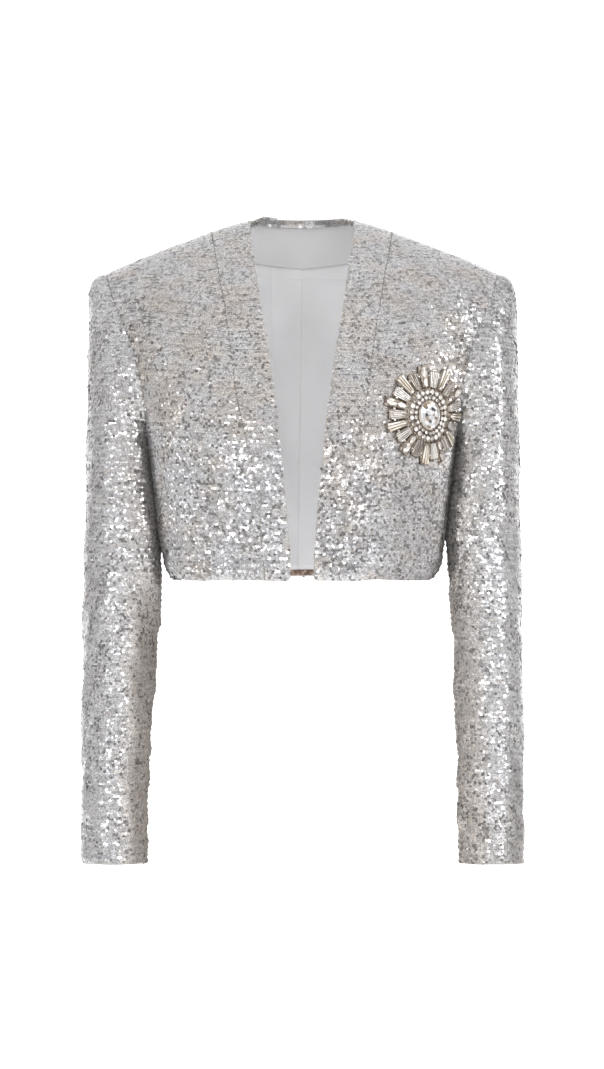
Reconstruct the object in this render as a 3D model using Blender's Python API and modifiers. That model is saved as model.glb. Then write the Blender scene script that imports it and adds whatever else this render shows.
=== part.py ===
"""Cropped sequin blazer: hollow, open at the front, worn shape with nobody in it.

Metres, +Z up, the front faces -Y and +X is the wearer's left.  The origin lies
between the two shoulders, level with the high points of the neck.  Lengths below
are in millimetres, and every point is turned to metres where a mesh is made.
"""

import math
from collections import namedtuple

import bmesh
import bpy
import numpy as np
from mathutils import Vector

MM = 0.001

# Cloth and seams
CLOTH = 1.5
LINING_CLOTH = 1.0
SEAM_GAP = 0.3
LINING_GAP = 1.0
LINING_DROP = 13.0

# Neck and shoulder line
NECK_HALF = 55.0
NECK_POINT_HEIGHT = -2.5
BACK_NECK_RISE = 8.5
BACK_NECK_REACH = 49.0
NECK_SPREAD = 0.6
SHOULDER_HALF = 208.0
SHOULDER_TIP_HEIGHT = -59.5
SHOULDER_BOW = 3.5
SHOULDER_BOW_START = 0.07
SHOULDER_Y = 8.0
SHOULDER_ROLL = 100.0
SQUARENESS = 2.4

# Heights of the body
UNDERARM = -240.0
HEM = -384.0

# Inside of the back
NECK_STRIP = 8.5
FACING_WIDTH = 42.0
FACING_DROP = 39.5
FACING_UNDER_SEAM = 7.0
FACING_LIFT = 0.4
HEM_TURN = 9.0
TRIM_INSET = 0.6
INSIDE_GAP = 4 * SEAM_GAP
PLEAT_WIDTH = 34.0
PLEAT_STEP = 1.6

# Sunburst of stones on the wearer's left chest
BROOCH_ACROSS = 128.0
BROOCH_HEIGHT = -215.5
RAY_COUNT = 22
RAY_STEPS = (0, 0.5, 1)
RAY_LONG = 51.0
RAY_SHORT = 46.0
RAY_ROOT = 27.5
BROOCH_CLEAR = 0.8
PLATE_THICKNESS = 1.2
RAY_STONE = 2.0
RAY_HALF = 0.33
RAY_NOTCH = 4.0
RAY_SETBACK = 1.5
STONE_FOOT = BROOCH_CLEAR + 1.6
BEADS = 16
BEAD_RING_IN = 13.5
BEAD_RING_OUT = 26.0
BEAD_FOOT = 0.5
BEAD_CROWN = 3.2
BEAD_DIP = 0.45
CRYSTAL_WIDE = 11.5
CRYSTAL_TALL = 13.0
CRYSTAL_FACETS = 12
CRYSTAL_TABLE = 4.8
CRYSTAL_GIRDLE = 2.4
TABLE_SHARE = 0.55

# Outer surface of the body, a row for each level section.
BodyRing = namedtuple("BodyRing", "height front_half back_half front_depth back_depth")
BODY_RINGS = (
    BodyRing(20, 232, 232, 36, 78),
    BodyRing(-30, 232, 231, 56, 85),
    BodyRing(-62, 230, 228, 72, 91),
    BodyRing(-90, 221, 221.5, 84, 95),
    BodyRing(-120, 209, 214, 95, 98),
    BodyRing(-150, 196, 205, 104, 99),
    BodyRing(-180, 184, 193, 112, 98.5),
    BodyRing(-205, 174, 179.5, 116.5, 97.5),
    BodyRing(-225, 167, 168.5, 118, 96),
    BodyRing(-240, 162.5, 162.5, 118, 94.5),
    BodyRing(-260, 159.2, 159.2, 117, 92.5),
    BodyRing(-285, 156.2, 156.2, 114, 89.5),
    BodyRing(-320, 152.4, 152.4, 109, 86),
    BodyRing(-350, 149.3, 149.3, 104, 83.5),
    BodyRing(-364, 146.4, 146.4, 102, 82),
    BodyRing(-377, 142, 142, 100, 80),
    BodyRing(-384, 135.5, 135.5, 97, 77),
)

# Lines of the front, as distances from the centre line: the open edge and the
# seam that parts the front band from the side front.
FrontLine = namedtuple("FrontLine", "height edge band_seam")
FRONT_LINES = (
    FrontLine(0, 55, 98),
    FrontLine(-20, 54, 95),
    FrontLine(-55, 49, 88),
    FrontLine(-90, 44, 81.5),
    FrontLine(-125, 38.5, 75.5),
    FrontLine(-165, 32, 70),
    FrontLine(-205, 26.5, 64.5),
    FrontLine(-240, 22.5, 56),
    FrontLine(-282, 18.5, 47.5),
    FrontLine(-330, 14, 42),
    FrontLine(-384, 11.5, 38),
)

# Armhole seam, as distances from the centre line.
Armhole = namedtuple("Armhole", "height front back")
ARMHOLE = (
    Armhole(-59.5, 208, 208),
    Armhole(-85, 200, 201.5),
    Armhole(-102, 192, 196),
    Armhole(-120, 184, 190.5),
    Armhole(-147, 174, 183.5),
    Armhole(-167, 169, 179),
    Armhole(-186, 166, 174.5),
    Armhole(-203, 163.6, 169.4),
    Armhole(-225, 162.2, 164.2),
    Armhole(-240, 162.5, 162.5),
)

# Sleeves from the upper arm to the cuff; the two hang a little differently.
SleeveRing = namedtuple(
    "SleeveRing", "height outer inner_right inner_left middle_y half_depth tilt")
SLEEVE_RINGS = (
    SleeveRing(-270, 230.2, 160.0, 160.0, 0, 62, 0),
    SleeveRing(-300, 231.0, 156.3, 156.5, -1, 62, 0),
    SleeveRing(-330, 231.6, 153.0, 154.0, -2, 61, 0.01),
    SleeveRing(-360, 232.0, 151.0, 155.4, -3, 60, 0.02),
    SleeveRing(-390, 232.2, 149.4, 157.4, -5, 58.5, 0.03),
    SleeveRing(-430, 232.4, 151.6, 160.0, -9, 56, 0.05),
    SleeveRing(-479, 232.4, 155.4, 161.6, -14, 52.5, 0.08),
    SleeveRing(-528, 232.4, 158.6, 162.6, -20, 49, 0.10),
    SleeveRing(-587, 232.2, 162.0, 163.8, -27, 45, 0.12),
    SleeveRing(-640, 231.6, 162.8, 164.8, -33.5, 42, 0.12),
    SleeveRing(-680.5, 230.9, 162.0, 164.6, -38.5, 40, 0.12),
)

# Soft breaks of the sleeves, each a shallow trough part of the way round.
Fold = namedtuple("Fold", "height turn reach half_width depth slant")
SLEEVE_FOLDS = (
    Fold(-385, 150, 70, 17, 2.6, 10),
    Fold(-470, 250, 60, 18, 2.0, -8),
    Fold(-560, 130, 75, 16, 2.2, 9),
    Fold(-625, 60, 65, 15, 1.8, -7),
)

# Head of the sleeve: the turn at which the cloth leaves the seam and how far it is
# led, at the underarm and the change from there to the shoulder tip.
HEAD_LEAVE = 42.0
HEAD_LEAVE_TIP = -40.0
HEAD_LEAD = 5.0
HEAD_LEAD_TIP = 26.0
HEAD_ARRIVE = 0.5
HEAD_ARRIVE_TIP = 0.36
HEAD_GAP = 0.4

# Grids
ROLL_TURNS = (0, 5, 15, 26, 38, 50, 63, 76, 90)
ARMHOLE_ROWS = 6
SIDE_FALLS = (0.2, 0.4, 0.58, 0.74, 0.86, 0.9354, 0.976, 1)
BAND_COLUMNS = 3
SIDE_FRONT_COLUMNS = 10
NECK_COLUMNS = 5
SHOULDER_COLUMNS = 7
SEAM_STRIP = 0.015
FACING_ROWS = slice(3, 8)
LINING_ROWS = slice(3, -2)
HEM_ROWS = slice(-3, None)
SLIVER = 1.0
CAP_STEPS = (0, 0.07, 0.16, 0.27, 0.41, 0.58, 0.78)
SLEEVE_RING_COUNT = 15

PALE_SEQUIN = (0.46, 0.45, 0.44, 1)
SATIN = (0.58, 0.59, 0.60, 1)
GILT = (0.50, 0.42, 0.28, 1)
GLASS = (0.80, 0.76, 0.68, 1)


def smooth_value(rows, column, height):
    """Read one column at a height, on a smooth curve through the table's rows."""
    heights = [row.height for row in rows]
    values = [getattr(row, column) for row in rows]
    if height >= heights[0]:
        return float(values[0])
    if height <= heights[-1]:
        return float(values[-1])
    above = max(i for i, level in enumerate(heights[:-1]) if level >= height)
    slopes = []
    for i in (above, above + 1):
        before = max(i - 1, 0)
        after = min(i + 1, len(rows) - 1)
        slopes.append((values[after] - values[before]) / (heights[after] - heights[before]))
    span = heights[above + 1] - heights[above]
    t = (height - heights[above]) / span
    return (values[above] * (1 + 2 * t) * (1 - t) ** 2
            + values[above + 1] * t * t * (3 - 2 * t)
            + slopes[0] * span * t * (1 - t) ** 2
            - slopes[1] * span * t * t * (1 - t))


def shoulder_height(across):
    """Height of the padded shoulder line, which bows up a little between its ends."""
    share = (abs(across) - NECK_HALF) / (SHOULDER_HALF - NECK_HALF)
    straight = NECK_POINT_HEIGHT + (SHOULDER_TIP_HEIGHT - NECK_POINT_HEIGHT) * share
    if share <= 0 or share >= 1:
        return straight
    return straight + SHOULDER_BOW * (1 - share ** 7) * (1 - math.exp(-share / SHOULDER_BOW_START))


def neck_fade(across, power):
    """1 at the centre back, 0 at the high points of the neck and beyond."""
    return max(0.0, 1 - (abs(across) / NECK_HALF) ** power)


def back_top(across):
    """Height of the top of the back: the neck edge, then the shoulder line."""
    if abs(across) >= NECK_HALF:
        return shoulder_height(across)
    return NECK_POINT_HEIGHT + BACK_NECK_RISE * neck_fade(across, 6)


def oval(share):
    """Depth of the body's oval, from 1 at the centre to 0 at the side."""
    return max(0.0, 1 - min(1.0, share) ** SQUARENESS) ** (1 / SQUARENESS)


def roll(drop):
    """How far the cloth has rolled over the shoulder, from 0 at the seam to 1."""
    left = 1 - min(max(drop, 0.0), SHOULDER_ROLL) / SHOULDER_ROLL
    return math.sqrt(1 - left * left)


def half_width(face, height):
    column = "front_half" if face < 0 else "back_half"
    return smooth_value(BODY_RINGS, column, height)


def body_y(face, across, height):
    """Y of the outer cloth; face is -1 for the front and +1 for the back."""
    share = abs(across) / half_width(face, height)
    if face < 0:
        depth = -smooth_value(BODY_RINGS, "front_depth", height) * oval(share)
        return SHOULDER_Y + (depth - SHOULDER_Y) * roll(shoulder_height(across) - height)
    depth = smooth_value(BODY_RINGS, "back_depth", height) * oval(share)
    drop = max(0.0, back_top(across) - height)
    narrowed = across * NECK_HALF / (NECK_HALF + NECK_SPREAD * drop)
    top = SHOULDER_Y + BACK_NECK_REACH * math.sqrt(neck_fade(narrowed, 2.2))
    return top + (depth - top) * roll(drop)


def front_edge(height):
    return smooth_value(FRONT_LINES, "edge", height)


def band_seam(height):
    return smooth_value(FRONT_LINES, "band_seam", height)


def outer_line(face, height):
    """Distance to the armhole seam, and below the underarm to the side seam."""
    if height <= UNDERARM:
        return half_width(face, height)
    return smooth_value(ARMHOLE, "front" if face < 0 else "back", height)


Row = namedtuple("Row", "drop inner_height outer_height")


def body_rows(face):
    """Rows of a body panel, from the shoulder seam down to the hem."""
    rows = []
    for turn in ROLL_TURNS:
        rows.append(Row(SHOULDER_ROLL * (1 - math.cos(math.radians(turn))), None, None))
    inner_start = (shoulder_height(front_edge(-SHOULDER_ROLL)) if face < 0
                   else back_top(0)) - SHOULDER_ROLL
    outer_start = line_point(face, rows[-1], lambda height: outer_line(face, height))[1]
    for k in range(1, ARMHOLE_ROWS + 1):
        fall = math.sin(math.radians(90 * k / ARMHOLE_ROWS))
        inner = inner_start + (UNDERARM - inner_start) * k / ARMHOLE_ROWS
        rows.append(Row(None, inner, outer_start + (UNDERARM - outer_start) * fall))
    for fall in SIDE_FALLS:
        level = UNDERARM + (HEM - UNDERARM) * fall
        rows.append(Row(None, level, level))
    return rows


def row_height(face, row, across):
    """Height of a row at a distance from the centre."""
    top = shoulder_height if face < 0 else back_top
    if row.drop is not None:
        return top(across) - row.drop
    inner_across = front_edge(row.inner_height) if face < 0 else 0.0
    outer_across = outer_line(face, row.outer_height)
    share = (abs(across) - inner_across) / (outer_across - inner_across)
    return row.inner_height + (row.outer_height - row.inner_height) * share


def line_point(face, row, line):
    """Where a row meets a line such as the front edge: distance and height."""
    across = line(UNDERARM)
    for _ in range(40):
        across = 0.5 * (across + line(row_height(face, row, across)))
    return across, row_height(face, row, across)


def oval_turn(face, across, height):
    share = min(1.0, abs(across) / half_width(face, height))
    return math.asin(share ** (SQUARENESS / 2))


def row_points(face, row, inner_line, outer_line_of, shares):
    """Points along one row of a panel, evenly round the body's oval."""
    start = oval_turn(face, *line_point(face, row, inner_line))
    end = oval_turn(face, *line_point(face, row, outer_line_of))
    points = []
    for share in shares:
        turn = start + (end - start) * share
        across = line_point(face, row, outer_line_of)[0] * share
        for _ in range(30):
            height = row_height(face, row, across)
            wide = half_width(face, height) * math.sin(turn) ** (2 / SQUARENESS)
            across = 0.5 * (across + wide)
        height = row_height(face, row, across)
        points.append((across, body_y(face, across, height), height))
    return points


def even_shares(columns, seam_strip=0.0):
    """Shares from 0 to 1, with a narrow last strip along a seam if one is asked."""
    shares = [k / columns for k in range(columns + 1)]
    if seam_strip:
        shares.insert(-1, 1 - seam_strip)
    return shares


def set_in(points, start_gap, end_gap):
    """Pull the two ends of a row in along it, to leave the gap at a seam."""
    points = [Vector(point) for point in points]
    first = (points[1] - points[0]).normalized() * start_gap
    last = (points[-2] - points[-1]).normalized() * end_gap
    points[0] = points[0] + first
    points[-1] = points[-1] + last
    return points


def lower_top_row(grid, gap):
    """Move the first row down the cloth by the gap at the shoulder seam."""
    for k, point in enumerate(grid[0]):
        step = (grid[1][k] - point).normalized() * gap
        grid[0][k] = point + step
    return grid


def material(name, colour, roughness, metallic):
    made = bpy.data.materials.new(name)
    made.use_nodes = True
    shader = made.node_tree.nodes["Principled BSDF"]
    shader.inputs["Base Color"].default_value = colour
    shader.inputs["Roughness"].default_value = roughness
    shader.inputs["Metallic"].default_value = metallic
    made.diffuse_color = colour
    return made


def add_object(name, mesh, look):
    mesh.shade_smooth()
    made = bpy.data.objects.new(name, mesh)
    made.data.materials.append(look)
    blazer.objects.link(made)
    return made


def grid_mesh(name, grid, side, around):
    """Open surface through a grid of points, rows from the top, outside out."""
    mesh = bpy.data.meshes.new(name)
    shape = bmesh.new()
    rows = []
    for row in grid:
        rows.append([shape.verts.new((side * p[0] * MM, p[1] * MM, p[2] * MM)) for p in row])
    columns = len(grid[0])
    for upper, lower in zip(rows, rows[1:]):
        for k in range(columns if around else columns - 1):
            after = (k + 1) % columns
            corners = (upper[k], lower[k], lower[after], upper[after])
            shape.faces.new(corners if side > 0 else corners[::-1])
    shape.to_mesh(mesh)
    shape.free()
    return mesh


def cloth_piece(name, grid, side, look, thickness=CLOTH, around=False, flip=False):
    """A cloth wall: the grid is its outer side and the thickness goes inwards."""
    if flip:
        grid = [row[::-1] for row in grid]
    made = add_object(name, grid_mesh(name, grid, side, around), look)
    wall = made.modifiers.new("Cloth", "SOLIDIFY")
    wall.thickness = thickness * MM
    wall.offset = -1
    return made


def front_grid(inner_line, outer_line_of, shares, start_gap, end_gap):
    rows = body_rows(-1)
    grid = []
    for row in rows:
        points = row_points(-1, row, inner_line, outer_line_of, shares)
        grid.append(set_in(points, start_gap, end_gap))
    return lower_top_row(grid, SEAM_GAP / 2)


def front_outer(height):
    return outer_line(-1, height)


def back_outer(height):
    return outer_line(1, height)


def centre_line(height):
    return 0.0


def back_shares():
    """Columns of half the back: close round the neck, then even along the shoulder."""
    places = [NECK_HALF * math.sin(math.pi / 2 * k / NECK_COLUMNS) for k in range(NECK_COLUMNS)]
    for k in range(SHOULDER_COLUMNS + 1):
        places.append(NECK_HALF + (SHOULDER_HALF - NECK_HALF) * k / SHOULDER_COLUMNS)
    turns = [oval_turn(1, place, back_top(place)) for place in places]
    return [turn / turns[-1] for turn in turns]


def half_back_grid():
    rows = body_rows(1)
    shares = back_shares()
    shares.insert(-1, 1 - SEAM_STRIP)
    grid = []
    for row in rows:
        points = row_points(1, row, centre_line, back_outer, shares)
        grid.append(set_in(points, 0.0, SEAM_GAP / 2))
    return lower_top_row(grid, SEAM_GAP / 2)


def both_halves(half):
    """A full back grid from its left half, the right half mirrored."""
    grid = []
    for row in half:
        mirrored = [Vector((-p[0], p[1], p[2])) for p in row[:0:-1]]
        grid.append(mirrored + row)
    return grid


def back_normal(across, height):
    """Outward direction of the back's cloth."""
    step = 2.0
    middle = Vector((across, body_y(1, across, height), height))
    aside = Vector((across + step, body_y(1, across + step, height), height)) - middle
    below = Vector((across, body_y(1, across, height - step), height - step)) - middle
    return aside.cross(below).normalized()


def inside_back(across, height, depth):
    """A point under the back's cloth, a distance in from its outer side."""
    middle = Vector((across, body_y(1, across, height), height))
    return middle - back_normal(across, height) * depth


def facing_edge(across):
    """Height of the facing's lower seam, a shallow arc between the shoulder seams."""
    end = NECK_HALF + FACING_WIDTH
    share = min(1.0, abs(across) / end)
    low = -FACING_DROP
    return low + (shoulder_height(end) - low) * share * share


def make_fronts(look):
    for side, word in ((-1, "right"), (1, "left")):
        band = front_grid(front_edge, band_seam, even_shares(BAND_COLUMNS), 0.0, SEAM_GAP / 2)
        cloth_piece("front_band_" + word, band, side, look)
        shares = even_shares(SIDE_FRONT_COLUMNS, SEAM_STRIP)
        side_front = front_grid(band_seam, front_outer, shares, SEAM_GAP / 2, SEAM_GAP / 2)
        cloth_piece("side_front_" + word, side_front, side, look)


def make_back(look):
    grid = both_halves(half_back_grid())
    cloth_piece("back_panel", grid, 1, look, flip=True)


def inside_rows(rows, columns):
    """Places of the back's own rows and columns, for what lies under it."""
    shares = back_shares()[:columns]
    places = []
    for row in rows:
        line = row_points(1, row, centre_line, back_outer, shares + [1])[:-1]
        places.append([(across, height) for across, _, height in line])
    return places


def held_between(places, top, low):
    """Keep each column of places between a top and a low line, in order."""
    last = len(places) - 1
    held = []
    for k, line in enumerate(places):
        row = []
        for across, height in line:
            highest = top(across) - SLIVER * k
            lowest = low(across) + SLIVER * (last - k)
            row.append((across, max(lowest, min(highest, height))))
        held.append(row)
    return held


def inside_piece(name, places, look, gap=LINING_GAP, lift=lambda across: 0.0):
    """A cloth piece under the back, through places of its left half."""
    depth = CLOTH + gap
    grid = []
    for line in places:
        right = [inside_back(-x, z, depth + lift(-x)) for x, z in line[:0:-1]]
        left = [inside_back(x, z, depth + lift(x)) for x, z in line]
        grid.append(right + left)
    cloth_piece(name, grid, 1, look, LINING_CLOTH, flip=True)


def make_neck_strip(look):
    first = inside_rows(body_rows(1)[:1], NECK_COLUMNS)[0]
    places = []
    for fall in (TRIM_INSET, NECK_STRIP / 2, NECK_STRIP):
        places.append([(across, height - fall) for across, height in first])
    inside_piece("back_neck_strip", places, look)


def facing_top(across):
    if abs(across) < NECK_HALF - 1:
        return back_top(across) - NECK_STRIP - INSIDE_GAP
    return shoulder_height(across) - FACING_UNDER_SEAM


def make_facing(look):
    places = inside_rows(body_rows(1)[FACING_ROWS], NECK_COLUMNS + 2)
    places = held_between(places, facing_top, facing_edge)
    inside_piece("back_neck_facing", places, look, LINING_GAP + FACING_LIFT)


def lining_top(across):
    """Top of the lining: the facing's seam, then under the shoulder seam."""
    return min(shoulder_height(across) - LINING_DROP, facing_edge(across) - INSIDE_GAP)


def lining_low(across):
    return HEM + HEM_TURN + 2 * SEAM_GAP


def pleat_lift(across):
    """Step of the lining's centre pleat, folded over to the wearer's right."""
    if across > 0 or across < -PLEAT_WIDTH:
        return 0.0
    return PLEAT_STEP * (1 + across / PLEAT_WIDTH)


def make_lining(look):
    places = inside_rows(body_rows(1)[LINING_ROWS], NECK_COLUMNS + SHOULDER_COLUMNS)
    places = held_between(places, lining_top, lining_low)
    inside_piece("back_lining", places, look, lift=pleat_lift)


def make_hem_turn(look):
    places = inside_rows(body_rows(1)[HEM_ROWS], NECK_COLUMNS + SHOULDER_COLUMNS)

    def top(across):
        return HEM + HEM_TURN - 2 * SEAM_GAP

    def low(across):
        return HEM + TRIM_INSET

    inside_piece("back_hem_turn", held_between(places, top, low), look)


def armhole_loop():
    """Points of the armhole seam, from the shoulder tip down the front and up the back."""
    loop = []
    for face in (-1, 1):
        half = []
        for row in body_rows(face):
            if row.outer_height is not None and row.outer_height < UNDERARM - 0.01:
                continue
            line = front_outer if face < 0 else back_outer
            across, height = line_point(face, row, line)
            half.append(Vector((across, body_y(face, across, height), height)))
        loop.append(half)
    front, back = loop
    return front + back[-2:0:-1]


def loop_shares(loop):
    """Share of the way round the loop for each of its points."""
    lengths = [0.0]
    for k in range(1, len(loop) + 1):
        lengths.append(lengths[-1] + (loop[k % len(loop)] - loop[k - 1]).length)
    return [length / lengths[-1] for length in lengths[:-1]]


def sleeve_values(height, side):
    inner = "inner_left" if side > 0 else "inner_right"
    columns = ("outer", inner, "middle_y", "half_depth", "tilt")
    return [smooth_value(SLEEVE_RINGS, column, height) for column in columns]


def fold_trough(height, turn, side):
    """How far the sleeve's soft breaks push the cloth in at a place."""
    trough = 0.0
    for fold in SLEEVE_FOLDS:
        centre = fold.turn if side > 0 else 360 - fold.turn + 25
        aside = (turn - centre + 180) % 360 - 180
        if abs(aside) > fold.reach:
            continue
        level = fold.height + fold.slant * aside / fold.reach
        along = (height - level) / fold.half_width
        fade = math.cos(math.pi / 2 * aside / fold.reach) ** 2
        trough += fold.depth * fade * math.exp(-along * along)
    return trough


def sleeve_point(height, share, side):
    """A point of the sleeve's ring; share 0 is the outer line, then round the front."""
    outer, inner, middle_y, half_depth, tilt = sleeve_values(height, side)
    turn = 2 * math.pi * share
    inward = fold_trough(height, 360 * share, side)
    middle_x = (outer + inner) / 2
    half = (outer - inner) / 2 - inward
    deep = half_depth - inward
    x = middle_x + half * math.cos(turn)
    y = middle_y - deep * math.sin(turn)
    return Vector((x, y, height - tilt * (y - middle_y)))


def sleeve_grid(side):
    loop = armhole_loop()
    shares = loop_shares(loop)
    first = SLEEVE_RINGS[0].height
    last = SLEEVE_RINGS[-1].height
    grid = [[] for _ in CAP_STEPS]
    for seam, share in zip(loop, shares):
        topness = (1 + math.cos(2 * math.pi * share)) / 2
        start = seam + Vector((HEAD_GAP, 0, 0))
        end = sleeve_point(first, share, side)
        along = (sleeve_point(first - 10, share, side) - end).normalized()
        reach = (end - start).length
        leave = math.radians(HEAD_LEAVE + HEAD_LEAVE_TIP * topness)
        lead = HEAD_LEAD + HEAD_LEAD_TIP * topness
        arrive = HEAD_ARRIVE + HEAD_ARRIVE_TIP * topness
        from_seam = start + Vector((math.cos(leave), 0, -math.sin(leave))) * lead
        to_ring = end - along * reach * arrive
        for k, t in enumerate(CAP_STEPS):
            rest = 1 - t
            grid[k].append(start * rest ** 3 + from_seam * 3 * t * rest ** 2
                           + to_ring * 3 * t * t * rest + end * t ** 3)
    for k in range(SLEEVE_RING_COUNT):
        height = first + (last - first) * k / (SLEEVE_RING_COUNT - 1)
        grid.append([sleeve_point(height, share, side) for share in shares])
    return grid


def make_sleeves(look):
    for side, word in ((-1, "right"), (1, "left")):
        grid = sleeve_grid(side)
        cloth_piece("sleeve_" + word, grid, side, look, around=True, flip=True)


def chest_points(height):
    """The front's outer cloth at one height, and the length along it."""
    wide = half_width(-1, height)
    across = [wide * math.sin(math.radians(turn)) ** (2 / SQUARENESS) for turn in range(5, 90)]
    places = np.array([(x, body_y(-1, x, height)) for x in across])
    steps = np.hypot(*np.diff(places, axis=0).T)
    return places, np.concatenate([[0], np.cumsum(steps)])


def on_chest(aside, above, lift):
    """A point over the left chest, laid out flat from the middle of the sunburst."""
    height = BROOCH_HEIGHT + above
    places, lengths = chest_points(height)
    middle = np.interp(BROOCH_ACROSS, places[:, 0], lengths)
    x = np.interp(middle + aside, lengths, places[:, 0])
    y = np.interp(middle + aside, lengths, places[:, 1])
    ahead_x = np.interp(middle + aside + 1, lengths, places[:, 0])
    ahead_y = np.interp(middle + aside + 1, lengths, places[:, 1])
    normal = Vector((ahead_y - y, x - ahead_x, 0)).normalized()
    return Vector((x, y, height)) + normal * lift


def raised_disc(name, rings, foot, look):
    """A closed low relief over the chest: rings of (aside, above, top lift) points.

    The under side repeats the rings at the foot's lift.  The first and last rings
    join top and under side, unless the first is a single middle point.
    """
    mesh = bpy.data.meshes.new(name)
    shape = bmesh.new()
    tops = []
    feet = []
    for ring in rings:
        tops.append([shape.verts.new(on_chest(a, b, lift) * MM) for a, b, lift in ring])
        feet.append([shape.verts.new(on_chest(a, b, foot) * MM) for a, b, _ in ring])
    count = len(rings[-1])
    for layer, flip in ((tops, False), (feet, True)):
        for inner, outer in zip(layer, layer[1:]):
            for k in range(count):
                after = (k + 1) % count
                if len(inner) == 1:
                    corners = (inner[0], outer[k], outer[after])
                else:
                    corners = (inner[k], outer[k], outer[after], inner[after])
                shape.faces.new(corners[::-1] if flip else corners)
    for k in range(count):
        after = (k + 1) % count
        shape.faces.new((tops[-1][k], feet[-1][k], feet[-1][after], tops[-1][after]))
        if len(rings[0]) > 1:
            shape.faces.new((tops[0][after], feet[0][after], feet[0][k], tops[0][k]))
    shape.normal_update()
    shape.to_mesh(mesh)
    shape.free()
    add_object(name, mesh, look)


def polar(radius, turn, lift):
    return (radius * math.cos(turn), radius * math.sin(turn), lift)


def make_rays(look):
    """The sunburst's base: a plate with long and short flat-topped rays."""
    plate = BROOCH_CLEAR + PLATE_THICKNESS
    stone = plate + RAY_STONE
    root = RAY_ROOT + RAY_SETBACK
    spokes = []
    for ray in range(RAY_COUNT):
        length = RAY_LONG if ray % 2 == 0 else RAY_SHORT
        for offset in (-RAY_HALF, RAY_HALF):
            spokes.append((2 * math.pi * (ray + offset) / RAY_COUNT, length, stone))
        notch = 2 * math.pi * (ray + 0.5) / RAY_COUNT
        spokes.append((notch, RAY_SHORT - RAY_NOTCH, plate))
    rings = [[(0.0, 0.0, plate)]]
    for radius in (RAY_ROOT / 2, RAY_ROOT):
        rings.append([polar(radius, turn, plate) for turn, _, _ in spokes])
    for share in RAY_STEPS:
        ring = []
        for turn, length, lift in spokes:
            ring.append(polar(root + (length - root) * share, turn, lift))
        rings.append(ring)
    raised_disc("brooch_rays", rings, BROOCH_CLEAR, look)


def make_bead_ring(look):
    """Two rings of small round stones side by side, standing on the plate."""
    middle = (BEAD_RING_IN + BEAD_RING_OUT) / 2
    quarter = (BEAD_RING_OUT - BEAD_RING_IN) / 4
    radii = ((BEAD_RING_IN, 0.0), (middle - quarter, 1.0), (middle, 0.25),
             (middle + quarter, 0.8), (BEAD_RING_OUT, 0.0))
    rings = []
    for radius, height in radii:
        ring = []
        for k in range(2 * BEADS):
            crown = BEAD_CROWN if k % 2 == 0 else BEAD_CROWN * BEAD_DIP
            lift = STONE_FOOT + BEAD_FOOT + height * crown
            ring.append(polar(radius, math.pi * k / BEADS, lift))
        rings.append(ring)
    raised_disc("brooch_bead_ring", rings, STONE_FOOT, look)


def make_crystal(look):
    """The oval centre stone, cut with a flat table and a sloping crown."""
    table = STONE_FOOT + CRYSTAL_TABLE
    rings = [[(0.0, 0.0, table)]]
    for size, lift in ((TABLE_SHARE, table), (1.0, STONE_FOOT + CRYSTAL_GIRDLE)):
        ring = []
        for k in range(CRYSTAL_FACETS):
            turn = 2 * math.pi * k / CRYSTAL_FACETS
            ring.append((CRYSTAL_WIDE * size * math.cos(turn),
                         CRYSTAL_TALL * size * math.sin(turn), lift))
        rings.append(ring)
    raised_disc("brooch_crystal", rings, STONE_FOOT, look)


for old in list(bpy.data.objects):
    bpy.data.objects.remove(old, do_unlink=True)

blazer = bpy.data.collections.new("sequin_blazer")
bpy.context.scene.collection.children.link(blazer)

sequin_cloth = material("sequin cloth", PALE_SEQUIN, 0.35, 0.6)
satin = material("lining satin", SATIN, 0.45, 0.0)
gilt = material("gilt setting", GILT, 0.3, 1.0)
glass = material("cut glass", GLASS, 0.05, 0.2)

make_fronts(sequin_cloth)
make_back(sequin_cloth)
make_sleeves(sequin_cloth)
make_neck_strip(sequin_cloth)
make_facing(satin)
make_lining(satin)
make_hem_turn(sequin_cloth)
make_rays(gilt)
make_bead_ring(glass)
make_crystal(glass)
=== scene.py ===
import math

import bmesh
import bpy
import numpy as np
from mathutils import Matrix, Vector


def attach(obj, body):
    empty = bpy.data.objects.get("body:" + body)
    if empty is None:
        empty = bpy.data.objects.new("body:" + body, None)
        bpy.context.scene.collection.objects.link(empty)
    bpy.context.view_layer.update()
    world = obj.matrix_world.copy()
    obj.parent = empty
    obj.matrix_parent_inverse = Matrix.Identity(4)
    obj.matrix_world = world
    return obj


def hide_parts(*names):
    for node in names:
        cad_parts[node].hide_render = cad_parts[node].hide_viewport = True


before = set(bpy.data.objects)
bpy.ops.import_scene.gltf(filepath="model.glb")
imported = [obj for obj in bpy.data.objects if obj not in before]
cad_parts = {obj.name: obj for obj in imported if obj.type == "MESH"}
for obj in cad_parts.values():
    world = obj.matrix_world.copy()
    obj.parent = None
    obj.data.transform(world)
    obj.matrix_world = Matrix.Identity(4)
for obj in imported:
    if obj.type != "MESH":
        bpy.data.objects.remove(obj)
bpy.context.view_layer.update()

# Sequin cloth of the body and sleeves: a beige grey knitted ground that carries rows of
# flat round sequins.  Each panel is a thin wall on its solid's form, with the soft
# creases and unevenness of worn cloth, and its inside is finished plainly in satin.

GROUND = "#bdb9b3"
GROUND_SHADE = "#96928d"
INSIDE_SATIN = "#dcdddf"
STITCH_MM = 0.9


def linear(code):
    """A linear colour from an sRGB hex value."""
    parts = [int(code[k:k + 2], 16) / 255 for k in (1, 3, 5)]
    parts = [c / 12.92 if c <= 0.04045 else ((c + 0.055) / 1.055) ** 2.4 for c in parts]
    return (*parts, 1.0)


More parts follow.
